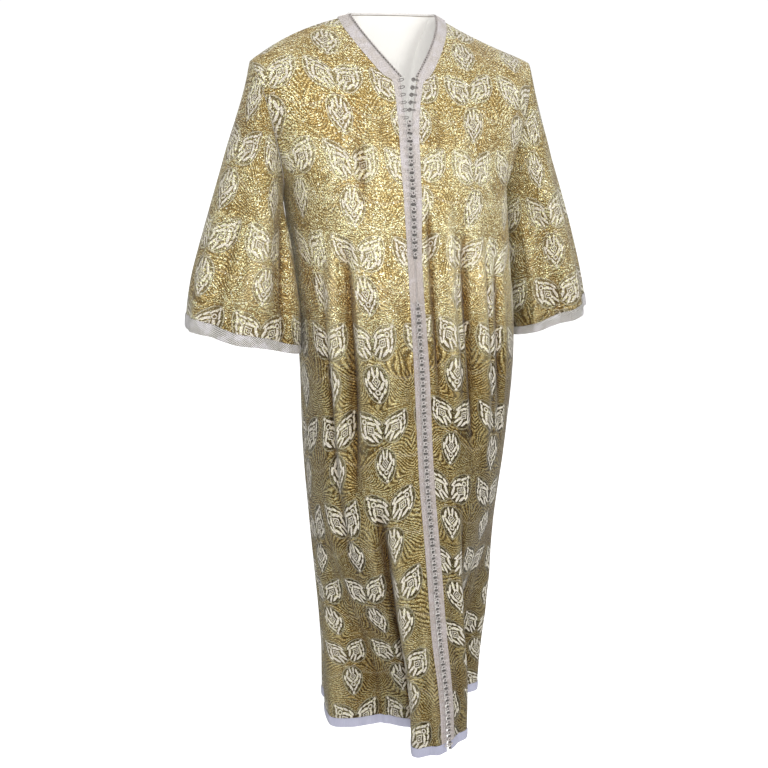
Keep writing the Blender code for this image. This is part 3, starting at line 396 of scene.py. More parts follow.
def front_top(side, cols, v, dense=161):
    """Upper front: rows run from the edge to the armhole, v 0 at the shoulder."""
    sign = -1.0 if side == "right" else 1.0
    v = np.asarray(v, float)
    c = np.linspace(0.0, 1.0, dense)
    d0 = ARMHOLE_LOW[1]
    full = body_low_plain(side, c, np.array([d0, d0 + 0.012]))
    end, slope = full[0], unit(full[1] - full[0])
    top = shoulder(side, c)
    k = c[:, None]
    lead = unit(np.array([0.0, -0.97, -0.16]) * (1 - k) + np.array([sign * 0.02, -0.90, -0.45]) * k)
    chord = np.linalg.norm(end - top, axis=1)[:, None]
    q = hermite(top[None], lead[None] * chord * 1.2, end[None], slope[None] * chord * 1.1,
                v[:, None, None])
    edge, arm = front_edge(side, v), armhole(side, np.pi * v)
    w_edge = (1.0 - smooth(c / 0.80))[None, :, None]
    w_arm = (1.0 - smooth((1.0 - c) / 0.60))[None, :, None]
    p = q + w_edge * (edge - q[:, 0])[:, None] + w_arm * (arm - q[:, -1])[:, None]
    # place the columns by distance along each row, the braid's width first
    along = np.gradient(edge, axis=0)
    band = NECK_BRAID + (FRONT_BRAID - NECK_BRAID) * smooth((v - NECK_SHARE + 0.05) / 0.10)
    kk, gg = cols
    out = np.zeros((len(v), len(kk), 3))
    at_all = np.zeros((len(v), len(kk)))
    gap = column(OPENING, OPENING_COLUMNS, "half_gap", -edge[:, 2])
    for r in range(len(v)):
        arc = np.concatenate([[0.0], np.cumsum(np.linalg.norm(np.diff(p[r], axis=0), axis=1))])
        way = unit(p[r, 4] - p[r, 0])
        sine = np.linalg.norm(np.cross(way, unit(along[r])))
        at = kk * band[r] / max(sine, 0.55)
        at = at + gg * (arc[-1] - band[r] / max(sine, 0.55))
        for j in range(3):
            out[r, :, j] = np.interp(at, arc, p[r, :, j])
        at_all[r] = at
    return out, at_all


def body_low_plain(side, share, drop):
    """Panel section without folds, in even shares from the edge."""
    dense = section(side, drop)
    step = np.linalg.norm(np.diff(dense, axis=1), axis=2)
    arc = np.concatenate([np.zeros((len(dense), 1)), np.cumsum(step, 1)], 1)
    gap = column(OPENING, OPENING_COLUMNS, "half_gap", drop)
    out = np.zeros((len(dense), len(share), 3))
    for r in range(len(dense)):
        at = gap[r] + share * (arc[r, -1] - gap[r])
        for j in range(2):
            out[r, :, j] = np.interp(at, arc[r], dense[r, :, j])
        out[r, :, 2] = -drop[r]
    return out


def back_top(share, v):
    """Back from the top line (v 0) to the armpit level (v 1)."""
    d0 = ARMHOLE_LOW[1]
    share, v = np.asarray(share, float), np.asarray(v, float)
    low, at = body_low("back", (np.zeros(len(share)), share), np.array([d0, d0 + 0.012]), folds=False)
    end, slope = low[0], unit(low[1] - low[0])
    top, lead = top_line_back(share)
    chord = np.linalg.norm(end - top, axis=1)[:, None]
    q = hermite(top[None], lead[None] * chord * 1.25, end[None], slope[None] * chord * 1.15,
                v[:, None, None])
    for side, edge, far in (("right", 0, share), ("left", -1, 1.0 - share)):
        arm = armhole(side, np.pi * v)
        arm[:, 1] *= -1.0
        w = (1.0 - smooth(far / 0.30))[None, :, None]
        q = q + w * (arm - q[:, edge])[:, None]
    return q, np.broadcast_to(at[0], q.shape[:2])


def grid_normals(p, flip):
    du = np.gradient(p, axis=1)
    dv = np.gradient(p, axis=0)
    return unit(np.cross(du, dv)) * (-1.0 if flip else 1.0)


def top_distance(panel, pts, at_low):
    """Distance round the cloth used to place folds above the armpit level."""
    drop = -pts[..., 2]
    if panel == "back":
        flat = 0.5 * at_low.max() + pts[..., 0] * 1.06
    else:
        mid = column(SECTIONS, SECTION_COLUMNS, "x_front", np.maximum(drop, 0.30))
        flat = np.abs(pts[..., 0] - mid) * 1.05
    w = smooth((drop - 0.20) / 0.10)
    return flat * (1 - w) + at_low[None, :] * w


def body_panel(panel, cols, t_top, drops):
    """Whole panel: rows from the top line to the hem."""
    if panel == "back":
        top, _ = back_top(cols[1], t_top)
    else:
        top, _ = front_top(panel, cols, t_top)
    _, at_low = body_low(panel, cols, np.array([ARMHOLE_LOW[1]]), folds=False)
    dist = top_distance(panel, top, at_low[0])
    length = section_length(panel, np.array([ARMHOLE_LOW[1]]))[0]
    h = fold_height(panel, dist, -top[..., 2])
    edge = 0.012 if panel != "back" else 0.040
    h = h * smooth((length - dist) / 0.040) * smooth(dist / edge)
    top = top + grid_normals(top, panel == "left") * h[..., None]
    low, _ = body_low(panel, cols, np.asarray(drops, float))
    return np.concatenate([top, low], 0)


# ---------------------------------------------------------------- the sleeves
def sleeve(side, turn, t):
    """Sleeve points.  turn in radians round the sleeve, t 0 armhole to 1 cuff."""
    turn = np.asarray(turn, float)
    sign = -1.0 if side == "right" else 1.0
    c = dict(zip(CUFF_COLUMNS, [r for r in CUFFS if r[0] == side][0]))
    top = armhole(side, turn, push=0.0007)
    cs, sn, q = np.cos(turn), np.sin(turn), 2.0 / c["square"]
    end = np.stack([c["x"] + sign * c["half_wide"] * np.sign(cs) * np.abs(cs) ** q,
                    c["y"] - c["half_deep"] * np.sign(sn) * np.abs(sn) ** q,
                    -(c["drop"] - c["tilt"] * np.cos(turn))], -1)
    chord = np.linalg.norm(end - top, axis=-1)[:, None]
    out = (0.5 + 0.5 * np.cos(turn))[:, None]
    frt = np.sin(turn)[:, None]
    lead = unit(out * np.array([sign * 0.16, 0.0, -1.0])
                + (1 - out) * np.array([sign * 0.04, 0.0, -1.0])
                + frt * np.array([sign * 0.05, -0.30, 0.0]))
    tail = unit(out * np.array([sign * 0.16, 0.0, -1.0])
                + (1 - out) * np.array([-sign * 0.02, 0.0, -1.0])
                + frt * np.array([0.0, -0.02, 0.0]))
    t = np.asarray(t, float)[:, None, None]
    p = hermite(top[None], lead[None] * chord * 1.0, end[None], tail[None] * chord * 1.0, t)
    # outward way, from the middle of each ring
    mid = p.mean(axis=1, keepdims=True)
    way = p - mid
    way[..., 2] = 0.0
    way = unit(way)
    deg = np.degrees(turn)[None, :]
    tt = t[..., 0]
    h = np.zeros(p.shape[:2])
    for row in SLEEVE_FOLDS:
        f = dict(zip(SLEEVE_FOLD_COLUMNS, row))
        if f["side"] != side:
            continue
        k = np.clip((tt - f["from_t"]) / (f["to_t"] - f["from_t"]), 0, 1)
        m = f["turn_top"] + (f["turn_low"] - f["turn_top"]) * k
        d = (deg - m + 180.0) % 360.0 - 180.0
        h += (f["height"] * smooth((tt - f["from_t"]) / f["fade"])
              * smooth((f["to_t"] - tt) / f["fade"]) * bump(d, 1.6 * f["round"], 1.6 * f["round"], 0.0))
    return p + way * h[..., None]


def wrap_normals(p, flip):
    du = np.roll(p, -1, axis=1) - np.roll(p, 1, axis=1)
    dv = np.gradient(p, axis=0)
    return unit(np.cross(du, dv)) * (-1.0 if flip else 1.0)


def near_index(points, grid):
    """Index of the grid point nearest to each point."""
    flat = grid.reshape(-1, 3)
    return np.array([np.argmin(((flat - q) ** 2).sum(1)) for q in points.reshape(-1, 3)])


def surface_normals(points, grid, normals):
    i = near_index(points, grid)
    return normals.reshape(-1, 3)[i].reshape(points.shape)


def onto(points, grid, normals):
    """Drop points onto the cloth along its own normal."""
    i = near_index(points, grid)
    n, g = normals.reshape(-1, 3)[i], grid.reshape(-1, 3)[i]
    flat = points.reshape(-1, 3)
    return (flat - n * ((flat - g) * n).sum(1)[:, None]).reshape(points.shape), n.reshape(points.shape)


def walk_from_neck(path, grid, normals, width, steps):
    """Rows of points from a neckline outward over the cloth."""
    tang = unit(np.gradient(path, axis=0))
    q, n = onto(path, grid, normals)
    way = unit(np.cross(n, tang))
    away = path - path.mean(0)
    way *= np.sign((way * away).sum(1))[:, None]
    way[0], way[-1] = unit(shoulder("right", np.array([0.1]))[0] - path[0]), \
        unit(shoulder("left", np.array([0.1]))[0] - path[-1])
    first = way.copy()
    rows = [path.copy()]
    q = path.copy()
    for _ in range(steps):
        q = q + way * (width / steps)
        q, n = onto(q, grid, normals)
        way = unit(way - n * (way * n).sum(1)[:, None])
        rows.append(q.copy())
    return np.stack(rows, 1), first


# ---------------------------------------------------------------- finer folds
# Same columns as FOLDS: creases and soft swells too fine for the solids.
MORE_FOLDS = (
    # wearer's right front
    ("right", 0.057, 0.055, 0.120, 0.300, 0.060, 0.090, 0.0030, 0.020, 0.020, 0.000),
    ("right", 0.089, 0.087, 0.190, 0.360, 0.050, 0.070, -0.0040, 0.010, 0.014, 0.000),
    ("right", 0.142, 0.146, 0.330, 0.560, 0.080, 0.120, 0.0030, 0.012, 0.014, 0.000),
    ("right", 0.123, 0.135, 0.350, 0.880, 0.120, 0.180, -0.0060, 0.006, 0.012, 0.001),
    ("right", 0.092, 0.096, 0.440, 0.900, 0.120, 0.200, 0.0020, 0.014, 0.016, 0.000),
    ("right", 0.027, 0.021, 0.340, 0.780, 0.120, 0.160, -0.0022, 0.009, 0.012, 0.000),
    ("right", 0.176, 0.180, 0.400, 0.760, 0.120, 0.160, -0.0035, 0.012, 0.014, 0.000),
    ("right", 0.094, 0.071, 0.860, 1.420, 0.140, 0.300, -0.0070, 0.008, 0.010, 0.000),
    ("right", 0.045, 0.030, 0.960, 1.420, 0.160, 0.001, -0.0030, 0.012, 0.014, 0.000),
    ("right", 0.206, 0.183, 0.780, 1.420, 0.160, 0.001, 0.0040, 0.018, 0.018, 0.000),
    ("right", 0.238, 0.218, 0.900, 1.420, 0.160, 0.001, -0.0035, 0.014, 0.014, 0.000),
    # wearer's left front
    ("left", 0.030, 0.032, 0.300, 0.700, 0.090, 0.150, -0.0030, 0.006, 0.009, 0.000),
    ("left", 0.077, 0.076, 0.300, 0.740, 0.110, 0.160, -0.0035, 0.009, 0.010, 0.000),
    ("left", 0.096, 0.096, 0.340, 0.800, 0.120, 0.180, -0.0050, 0.007, 0.009, 0.000),
    ("left", 0.143, 0.141, 0.340, 0.700, 0.120, 0.160, -0.0040, 0.009, 0.010, 0.000),
    ("left", 0.186, 0.184, 0.380, 0.780, 0.120, 0.160, 0.0040, 0.012, 0.012, 0.000),
    ("left", 0.065, 0.063, 0.120, 0.290, 0.060, 0.080, -0.0030, 0.014, 0.014, 0.000),
    ("left", 0.113, 0.103, 0.140, 0.320, 0.060, 0.090, 0.0035, 0.018, 0.018, 0.000),
    ("left", 0.068, 0.073, 0.800, 1.420, 0.160, 0.001, -0.0045, 0.008, 0.012, 0.000),
    ("left", 0.164, 0.181, 0.960, 1.420, 0.160, 0.001, 0.0045, 0.014, 0.016, 0.000),
    # back
    ("back", 0.090, 0.084, 0.360, 1.420, 0.160, 0.001, -0.0060, 0.014, 0.014, 0.000),
    ("back", 0.150, 0.140, 0.420, 1.420, 0.160, 0.001, -0.0050, 0.012, 0.012, 0.000),
    ("back", 0.226, 0.220, 0.360, 1.420, 0.160, 0.001, 0.0060, 0.014, 0.016, 0.000),
    ("back", 0.300, 0.306, 0.360, 1.420, 0.160, 0.001, -0.0060, 0.014, 0.014, 0.000),
    ("back", 0.380, 0.396, 0.420, 1.420, 0.160, 0.001, 0.0055, 0.014, 0.014, 0.000),
    ("back", 0.455, 0.480, 0.420, 1.420, 0.160, 0.001, -0.0055, 0.012, 0.014, 0.000),
    ("back", 0.200, 0.205, 0.140, 0.420, 0.060, 0.120, -0.0035, 0.016, 0.016, 0.000),
    ("back", 0.330, 0.322, 0.150, 0.440, 0.060, 0.120, -0.0035, 0.016, 0.016, 0.000),
)
MORE_SLEEVE_FOLDS = (
    ("right", 140, 118, 0.16, 1.30, 0.20, -0.0050, 7),
    ("right", 84, 66, 0.30, 1.30, 0.25, -0.0040, 7),
    ("right", 52, 36, 0.34, 1.30, 0.25, 0.0035, 8),
    ("right", 108, 96, 0.40, 1.30, 0.25, 0.0030, 8),
    ("right", 20, 12, 0.36, 1.30, 0.25, -0.0030, 7),
    ("right", 286, 292, 0.30, 1.30, 0.25, 0.0040, 9),
    ("right", 244, 240, 0.30, 1.30, 0.25, -0.0040, 8),
    ("left", 96, 84, 0.20, 1.30, 0.25, -0.0040, 7),
    ("left", 62, 52, 0.28, 1.30, 0.25, 0.0035, 8),
    ("left", 30, 24, 0.30, 1.30, 0.25, -0.0035, 7),
    ("left", 128, 118, 0.30, 1.30, 0.25, 0.0035, 8),
    ("left", 284, 290, 0.30, 1.30, 0.25, 0.0040, 9),
    ("left", 244, 240, 0.30, 1.30, 0.25, -0.0040, 8),
)
FOLDS = FOLDS + MORE_FOLDS
SLEEVE_FOLDS = SLEEVE_FOLDS + MORE_SLEEVE_FOLDS


def hashed(i, j, seed):
    k = np.sin(i * 127.1 + j * 311.7 + seed * 74.7) * 43758.5453
    return k - np.floor(k)


def wander(x, y, seed):
    """Smooth value noise between -1 and 1."""
    i, j = np.floor(x), np.floor(y)
    a, b = smooth(x - i), smooth(y - j)
    p = hashed(i, j, seed) * (1 - a) + hashed(i + 1, j, seed) * a
    q = hashed(i, j + 1, seed) * (1 - a) + hashed(i + 1, j + 1, seed) * a
    return 2.0 * (p * (1 - b) + q * b) - 1.0


def ripples(u, v, seed):
    """Small unevenness of hanging cloth, longer down the cloth than across."""
    return (0.0013 * wander(u / 0.070, v / 0.190, seed)
            + 0.0008 * wander(u / 0.034, v / 0.110, seed + 1.7)
            + 0.0004 * wander(u / 0.017, v / 0.050, seed + 3.1))


# ---------------------------------------------------------------- fine grids
F_BAND, F_SIDE = 5, (88)
F_NECK, F_CHEST, F_LOW, F_HEM = 26, 34, (180), 5
F_BACK = 148
F_RING, F_DOWN = (132), (100)


def eased(n, a, b):
    """n + 1 places from 0 to 1, with a extra at the start and b at the end."""
    k = np.linspace(0.0, 1.0, n + 1)
    if a:
        k = np.insert(k, 1, [k[1] * 0.45])
    if b:
        k = np.insert(k, -1, [1 - (1 - k[-2]) * 0.45])
    return k


def fine_cols(panel):
    if panel == "back":
        g = eased(F_BACK, True, True)
        return np.zeros(len(g)), g
    g = eased(F_SIDE, True, True)[1:]
    k = np.concatenate([np.linspace(0, 1, F_BAND + 1), np.ones(len(g))])
    return k, np.concatenate([np.zeros(F_BAND + 1), g])


def fine_top(panel):
    if panel == "back":
        k = eased(F_NECK + F_CHEST, True, False)
        return 0.6 * k + 0.4 * k * k
    a = eased(F_NECK, True, False) * NECK_SHARE
    b = NECK_SHARE + (1 - NECK_SHARE) * np.linspace(0, 1, F_CHEST + 1)[1:]
    return np.concatenate([a, b])


def fine_low():
    d = np.linspace(ARMHOLE_LOW[1], HEM_DROP - HEM_BRAID, F_LOW + 1)[1:]
    return np.concatenate([d, np.linspace(HEM_DROP - HEM_BRAID, HEM_DROP, F_HEM + 1)[1:]])


def cloth_map(panel, p, dist, top_rows):
    """Weave coordinates in metres: round the cloth, and up it from the armpit."""
    step = np.linalg.norm(np.diff(p, axis=1), axis=2)
    arc = np.concatenate([np.zeros((len(p), 1)), np.cumsum(step, 1)], 1)
    if panel == "back":
        mid = p.shape[1] // 2
        arc = arc - arc[:, mid:mid + 1]
        flat = p[..., 0] * 1.04
    else:
        sign = -1.0 if panel == "right" else 1.0
        x0 = column(SECTIONS, SECTION_COLUMNS, "x_front", np.maximum(-p[..., 2], 0.30))
        flat = (sign * (p[..., 0] - x0)) * 1.04
    u = arc.copy()
    w = smooth((-p[:top_rows, :, 2] - 0.18) / 0.12)
    low_row = arc[top_rows - 1][None, :]
    u[:top_rows] = flat[:top_rows] * (1 - w) + low_row * w
    dz = np.diff(p[..., 2], axis=0)
    dy = np.diff(p[..., 1], axis=0)
    fall = np.concatenate([np.zeros((1, p.shape[1])), np.cumsum(np.hypot(dz, dy), 0)], 0)
    v = -(fall - fall[top_rows - 1][None, :])
    return u, v


def crease_map(p, n, wrap=False):
    """0.5 on level cloth, towards 0 in a valley and towards 1 on a ridge."""
    rows, cols = p.shape[:2]
    span = float(np.linalg.norm(np.diff(p, axis=1), axis=2).mean())
    reach = max(2, int(round(0.042 / span)))
    total, count = np.zeros_like(p), np.zeros((rows, cols, 1))
    for k in range(-reach, reach + 1):
        w = math.cos(0.5 * math.pi * k / (reach + 1)) ** 2
        j = np.arange(cols) + k
        if wrap:
            total += w * p[:, j % cols]
            count += w
        else:
            # mirrored about the edges, so that an edge does not read as a fold
            m = np.clip(j, 0, cols - 1)
            q = p[:, m] + np.where((j != m)[None, :, None], p[:, m] - p[:, np.clip(2 * m - j, 0, cols - 1)], 0.0)
            total += w * q
            count += w
    rise = np.sum((p - total / count) * n, -1)
    # the cloth's own roundness is not a fold
    rise = rise - np.median(rise)
    rise = np.clip(rise / 0.0065, -1.0, 1.0)
    for _ in range(3):
        rise[1:-1] = 0.25 * rise[:-2] + 0.5 * rise[1:-1] + 0.25 * rise[2:]
    return 0.5 + 0.5 * rise


def fine_panel(panel):
    cols = fine_cols(panel)
    t = fine_top(panel)
    p = body_panel(panel, cols, t, fine_low())
    top_rows = len(t)
    u, v = cloth_map(panel, p, None, top_rows)
    n = grid_normals(p, panel == "left")
    seed = {"right": 3.0, "left": 11.0, "back": 23.0}[panel]
    h = ripples(u, v, seed)
    rows, count = h.shape
    edge = np.minimum(np.arange(count), np.arange(count)[::-1])[None, :]
    if panel == "back":
        calm = smooth(edge / 6.0)
    else:
        calm = smooth((count - 1 - np.arange(count)) / 6.0)[None, :] * \
            smooth(np.arange(count) / 10.0)[None, :]
    calm = calm * smooth(np.arange(rows) / 6.0)[:, None]
    # the cloth rolls in a little at its seams
    roll = 1 - smooth(edge / 3.0) if panel == "back" else \
        1 - smooth((count - 1 - np.arange(count)) / 3.0)[None, :]
    h = h * calm - 0.0008 * roll
    p = p + n * h[..., None]
    n = grid_normals(p, panel == "left")
    # mitred edges, as on the solids
    if panel == "back":
        g = cols[1]
        ridge = np.minimum(g, 1 - g) <= BACK_SHOULDER + 1e-9
        sides = [0, -1]
    else:
        ridge = np.ones(n.shape[1], bool)
        sides = [-1]
    for c in np.nonzero(ridge)[0]:
        w = n[0, c].copy()
        w[1] = 0.0
        n[0, c] = unit(w)
    for c in sides:
        w = n[top_rows:, c].copy()
        w[:, 1:] = 0.0
        n[top_rows:, c] = unit(w)
    half = 0.5 * SEAM + 0.00005
    q = p.copy()
    if panel == "back":
        q[:, 0] += unit(p[:, 1] - p[:, 0]) * half
    q[:, -1] += unit(p[:, -2] - p[:, -1]) * half
    q[0] += unit(p[1] - p[0]) * half
    return {"p": q, "n": n, "u": u, "v": v, "cols": cols, "top_rows": top_rows,
            "crease": crease_map(p, n)}


# How far the sleeve's first row stands off the body's edge by drop, less 0.4 mm.
SEAM_REACH = ((0.078, 0.00010), (0.100, 0.00018), (0.120, 0.00050), (0.143, 0.00092), (0.168, 0.00132),
              (0.200, 0.00165), (0.250, 0.00186), (0.300, 0.00200))


def fine_sleeve(side):
    turn = math.pi + np.linspace(0.0, 2 * math.pi, F_RING + 1)[:-1]
    end = 1.0 - CUFF_BRAID / 0.318
    t = np.concatenate([eased(F_DOWN, True, False) * end, np.linspace(end, 1.0, 6)[1:]])
    p = sleeve(side, turn, t)
    n = wrap_normals(p, side == "right")
    ring = np.concatenate([p, p[:, :1]], 1)
    step = np.linalg.norm(np.diff(ring, axis=1), axis=2)
    u = np.concatenate([np.zeros((len(p), 1)), np.cumsum(step, 1)], 1)
    u = u - u[:, F_RING // 2][:, None]         # from the outer line; the front is positive
    v = ring[..., 2] * 1.03
    seed = 37.0 if side == "right" else 51.0
    h = ripples(u[:, :-1], v[:, :-1], seed)
    w = np.abs(np.linspace(-1, 1, p.shape[1]))
    h = h * smooth(np.arange(len(p)) / 8.0)[:, None] * (1 - w ** 12)[None, :]
    h = h - 0.0008 * (1 - smooth(np.arange(len(p)) / 4.0))[:, None]
    p = p + n * h[..., None]
    # the first rows reach in to the armhole seam, 0.4 mm short of the body
    short = np.interp(-p[0, :, 2], [r[0] for r in SEAM_REACH], [r[1] for r in SEAM_REACH])
    near_seam = 1.0 - smooth(np.arange(len(p)) / 12.0)
    p[..., 0] += (1.0 if side == "right" else -1.0) * near_seam[:, None] * short[None, :]
    n = wrap_normals(p, side == "right")
    n[0] = unit(n[0] * np.array([0.15, 1.0, 1.0]))
    fold = crease_map(p, n, True)
    return {"p": p, "n": n, "u": u, "v": v, "t": t,
            "crease": np.concatenate([fold, fold[:, :1]], 1)}


# ---------------------------------------------------------------- how the pattern lies
# The figure does not run true to the edges: it slides under the front braid and
# dips to the sides.  Slopes of the figure by the way down from the armpit.
DIP_COLUMNS = ("down", "right", "left", "back")
DIPS = (
    (-0.20, -0.15, 0.08, 0.00),
    (0.00, -0.10, 0.09, 0.00),
    (0.25, 0.05, 0.20, 0.04),
    (0.62, 0.36, 0.33, 0.08),
    (0.78, 0.24, 0.30, 0.08),
    (0.95, 0.05, 0.22, 0.04),
    (1.25, 0.08, 0.15, 0.02),
)


# How far the front opening has swung over by each drop.
SWING = ((0.300, 0.0030), (0.420, 0.0038), (0.600, 0.0045), (0.800, 0.0100), (0.960, 0.0135),
         (1.110, 0.0175), (1.240, 0.0205), (1.345, 0.0215))


def figure_map(key, u, v):
    """Place in the woven pattern for a place on the cloth."""
    swing = np.interp(0.30 - v, [r[0] for r in SWING], [r[1] for r in SWING])
    if key.startswith("sleeve"):
        if key.endswith("right"):
            return 0.95 * u - 0.03 * v - 0.055, v + 0.17 * u + 0.426
        return 0.95 * u - 0.03 * v - 0.020, v + 0.12 * u + 0.395
    w = 0.18 - v
    slope = np.interp(-v, [r[0] for r in DIPS], [r[DIP_COLUMNS.index(key)] for r in DIPS])
    if key == "right":
        u = u + swing
        k = np.clip(w, 0, 1.3)
        return (1.05 * u + 0.08 * u * k + 0.0856 * k - 0.0072 * k ** 2 - 0.0457 * k ** 3 - 0.0077,
                v + slope * (u - 0.09))
    if key == "left":
        u = u - swing
        k = np.clip(w, 0, 1.3)
        return (1.12 * u + 0.05 * u * k + 0.0354 * k + 0.4563 * k ** 2 - 0.384 * k ** 3 - 0.030,
                1.05 * v + 0.0075 + slope * (u - 0.08))
    return u * (1.08 + 0.10 * np.clip(w, 0, 1.2)), v + slope * np.abs(u)


# ---------------------------------------------------------------- mesh makers
def quads(rows, cols, base=0, wrap=False):
    r = np.arange(rows - 1)[:, None]
    c = np.arange(cols if wrap else cols - 1)[None, :]
    c2 = (c + 1) % cols
    a, b = base + r * cols + c, base + r * cols + c2
    d, e = base + (r + 1) * cols + c, base + (r + 1) * cols + c2
    return np.stack([a, b, e, d], -1).reshape(-1, 4)


def quad_uv(u, v, wrap=False):
    """Map corners for the same quads; a wrapped grid has one column more."""
    a = np.stack([u[:-1, :-1], v[:-1, :-1]], -1)
    b = np.stack([u[:-1, 1:], v[:-1, 1:]], -1)
    e = np.stack([u[1:, 1:], v[1:, 1:]], -1)
    d = np.stack([u[1:, :-1], v[1:, :-1]], -1)
    return np.stack([a, b, e, d], -2).reshape(-1, 4, 2)


def put(name, verts, faces, uvs, kinds, materials, smooth_from=60.0, more=None):
    """Mesh object from plain arrays, with the Weave map and a material a face."""
    me = bpy.data.meshes.new(name)
    me.from_pydata(np.asarray(verts, float).tolist(), [], [list(map(int, f)) for f in faces])
    layer = me.uv_layers.new(name="Weave")
    layer.data.foreach_set("uv", np.asarray(uvs, np.float32).ravel())
    if more is not None:
        layer = me.uv_layers.new(name="Crease")
        layer.data.foreach_set("uv", np.asarray(more, np.float32).ravel())
    for m in materials:
        me.materials.append(m)
    me.polygons.foreach_set("material_index", np.asarray(kinds, np.int32))
    me.shade_smooth()
    me.set_sharp_from_angle(angle=math.radians(smooth_from))
    me.update()
    ob = bpy.data.objects.new(name, me)
    bpy.context.scene.collection.objects.link(ob)
    return ob


def shell(name, outer, inner, normals, u, v, materials, wrap=False, smooth_from=60.0, crease=None):
    """Closed wall between two grids: outer face kind 0, inner kind 1, rims 0 or 2."""
    rows, cols = outer.shape[:2]
    base = rows * cols
    q = quads(rows, cols, 0, wrap)
    p = outer.reshape(-1, 3)
    mid = len(q) // 2 + cols // 3
    f = q[mid]
    way = np.cross(p[f[1]] - p[f[0]], p[f[2]] - p[f[0]])
    turned = (way @ normals.reshape(-1, 3)[f[0]]) < 0
    in_q = q[:, ::-1] + base
    last = cols if wrap else cols - 1
    c = np.arange(last)
    c2 = (c + 1) % cols
    e = rows - 1
    r = np.arange(rows - 1)
    k = cols - 1
    rims = [np.stack([c, base + c, base + c2, c2], -1),
            np.stack([e * cols + c, e * cols + c2, base + e * cols + c2, base + e * cols + c], -1)]
    if not wrap:
        rims.append(np.stack([r * cols, (r + 1) * cols, base + (r + 1) * cols, base + r * cols], -1))
        rims.append(np.stack([r * cols + k, base + r * cols + k, base + (r + 1) * cols + k,
                              (r + 1) * cols + k], -1))
    rim_q = np.concatenate(rims)

    def corner_map(u, v):
        uv = quad_uv(u, v, wrap)
        rim = [np.stack([np.stack([u[0, j], v[0, j]], -1) for j in (c, c, c + 1, c + 1)], 1),
               np.stack([np.stack([u[e, j], v[e, j]], -1) for j in (c, c + 1, c + 1, c)], 1)]
        if not wrap:
            rim.append(np.stack([np.stack([u[j, 0], v[j, 0]], -1) for j in (r, r + 1, r + 1, r)], 1))
            rim.append(np.stack([np.stack([u[j, k], v[j, k]], -1) for j in (r, r, r + 1, r + 1)], 1))
        t = np.concatenate([uv, uv[:, ::-1]] + rim)
        return t[:, ::-1] if turned else t

    faces = np.concatenate([q, in_q, rim_q])
    if turned:
        faces = faces[:, ::-1]
    kinds = np.concatenate([np.zeros(len(q)), np.ones(len(in_q)), np.zeros(len(rim_q))])
    if len(materials) > 2:
        kinds[len(q) + len(in_q):] = 2
    verts = np.concatenate([outer.reshape(-1, 3), inner.reshape(-1, 3)])
    more = None if crease is None else corner_map(crease, np.zeros_like(crease))
    return put(name, verts, faces, corner_map(u, v), kinds, materials, smooth_from, more)


class Heap:
    """Many small closed shapes gathered into one mesh."""

    def __init__(self):
        self.verts, self.faces, self.uvs, self.kinds, self.count = [], [], [], [], 0

    def add(self, verts, faces, uvs, kind=0):
        verts = np.asarray(verts, float)
        for f, t in zip(faces, uvs):
            self.faces.append([int(k) + self.count for k in f])
            self.uvs.extend(t)
            self.kinds.append(kind)
        self.verts.append(verts)
        self.count += len(verts)

    def build(self, name, materials, smooth_from=50.0):
        return put(name, np.concatenate(self.verts), self.faces, np.array(self.uvs), self.kinds,
                   materials, smooth_from)


def cord_path(path, radius, sides, up=(0.0, -1.0, 0.15), closed=False):
    """Tube along a path; closed makes a ring.  Map: round it, and along it."""
    path = np.asarray(path, float)
    n = len(path)
    if closed:
        tang = unit(np.roll(path, -1, 0) - np.roll(path, 1, 0))
    else:
        tang = unit(np.gradient(path, axis=0))
    up = np.broadcast_to(np.asarray(up, float), path.shape)
    side = unit(np.cross(tang, up))
    other = np.cross(side, tang)
    radius = np.broadcast_to(np.asarray(radius, float), (n,))
    a = 2 * math.pi * np.arange(sides) / sides
    verts = (path[:, None] + radius[:, None, None] * (np.cos(a)[None, :, None] * side[:, None]
             + np.sin(a)[None, :, None] * other[:, None])).reshape(-1, 3)
    run = np.concatenate([[0.0], np.cumsum(np.linalg.norm(np.diff(path, axis=0), axis=1))])
    faces, uvs = [], []
    last = n if closed else n - 1
    for j in range(last):
        j2 = (j + 1) % n
        y0 = run[j]
        y1 = run[j + 1] if j + 1 < n else run[-1] + run[1]
        for k in range(sides):
            k2 = (k + 1) % sides
            faces.append((j * sides + k, j * sides + k2, j2 * sides + k2, j2 * sides + k))
            w = 0.004 / sides
            uvs.append([(k * w, y0), ((k + 1) * w, y0), ((k + 1) * w, y1), (k * w, y1)])
    if not closed:
        faces.append(tuple(range(sides - 1, -1, -1)))
        uvs.append([(0.0, 0.0)] * sides)
        faces.append(tuple((n - 1) * sides + k for k in range(sides)))
        uvs.append([(0.0, run[-1])] * sides)
    return verts, faces, uvs


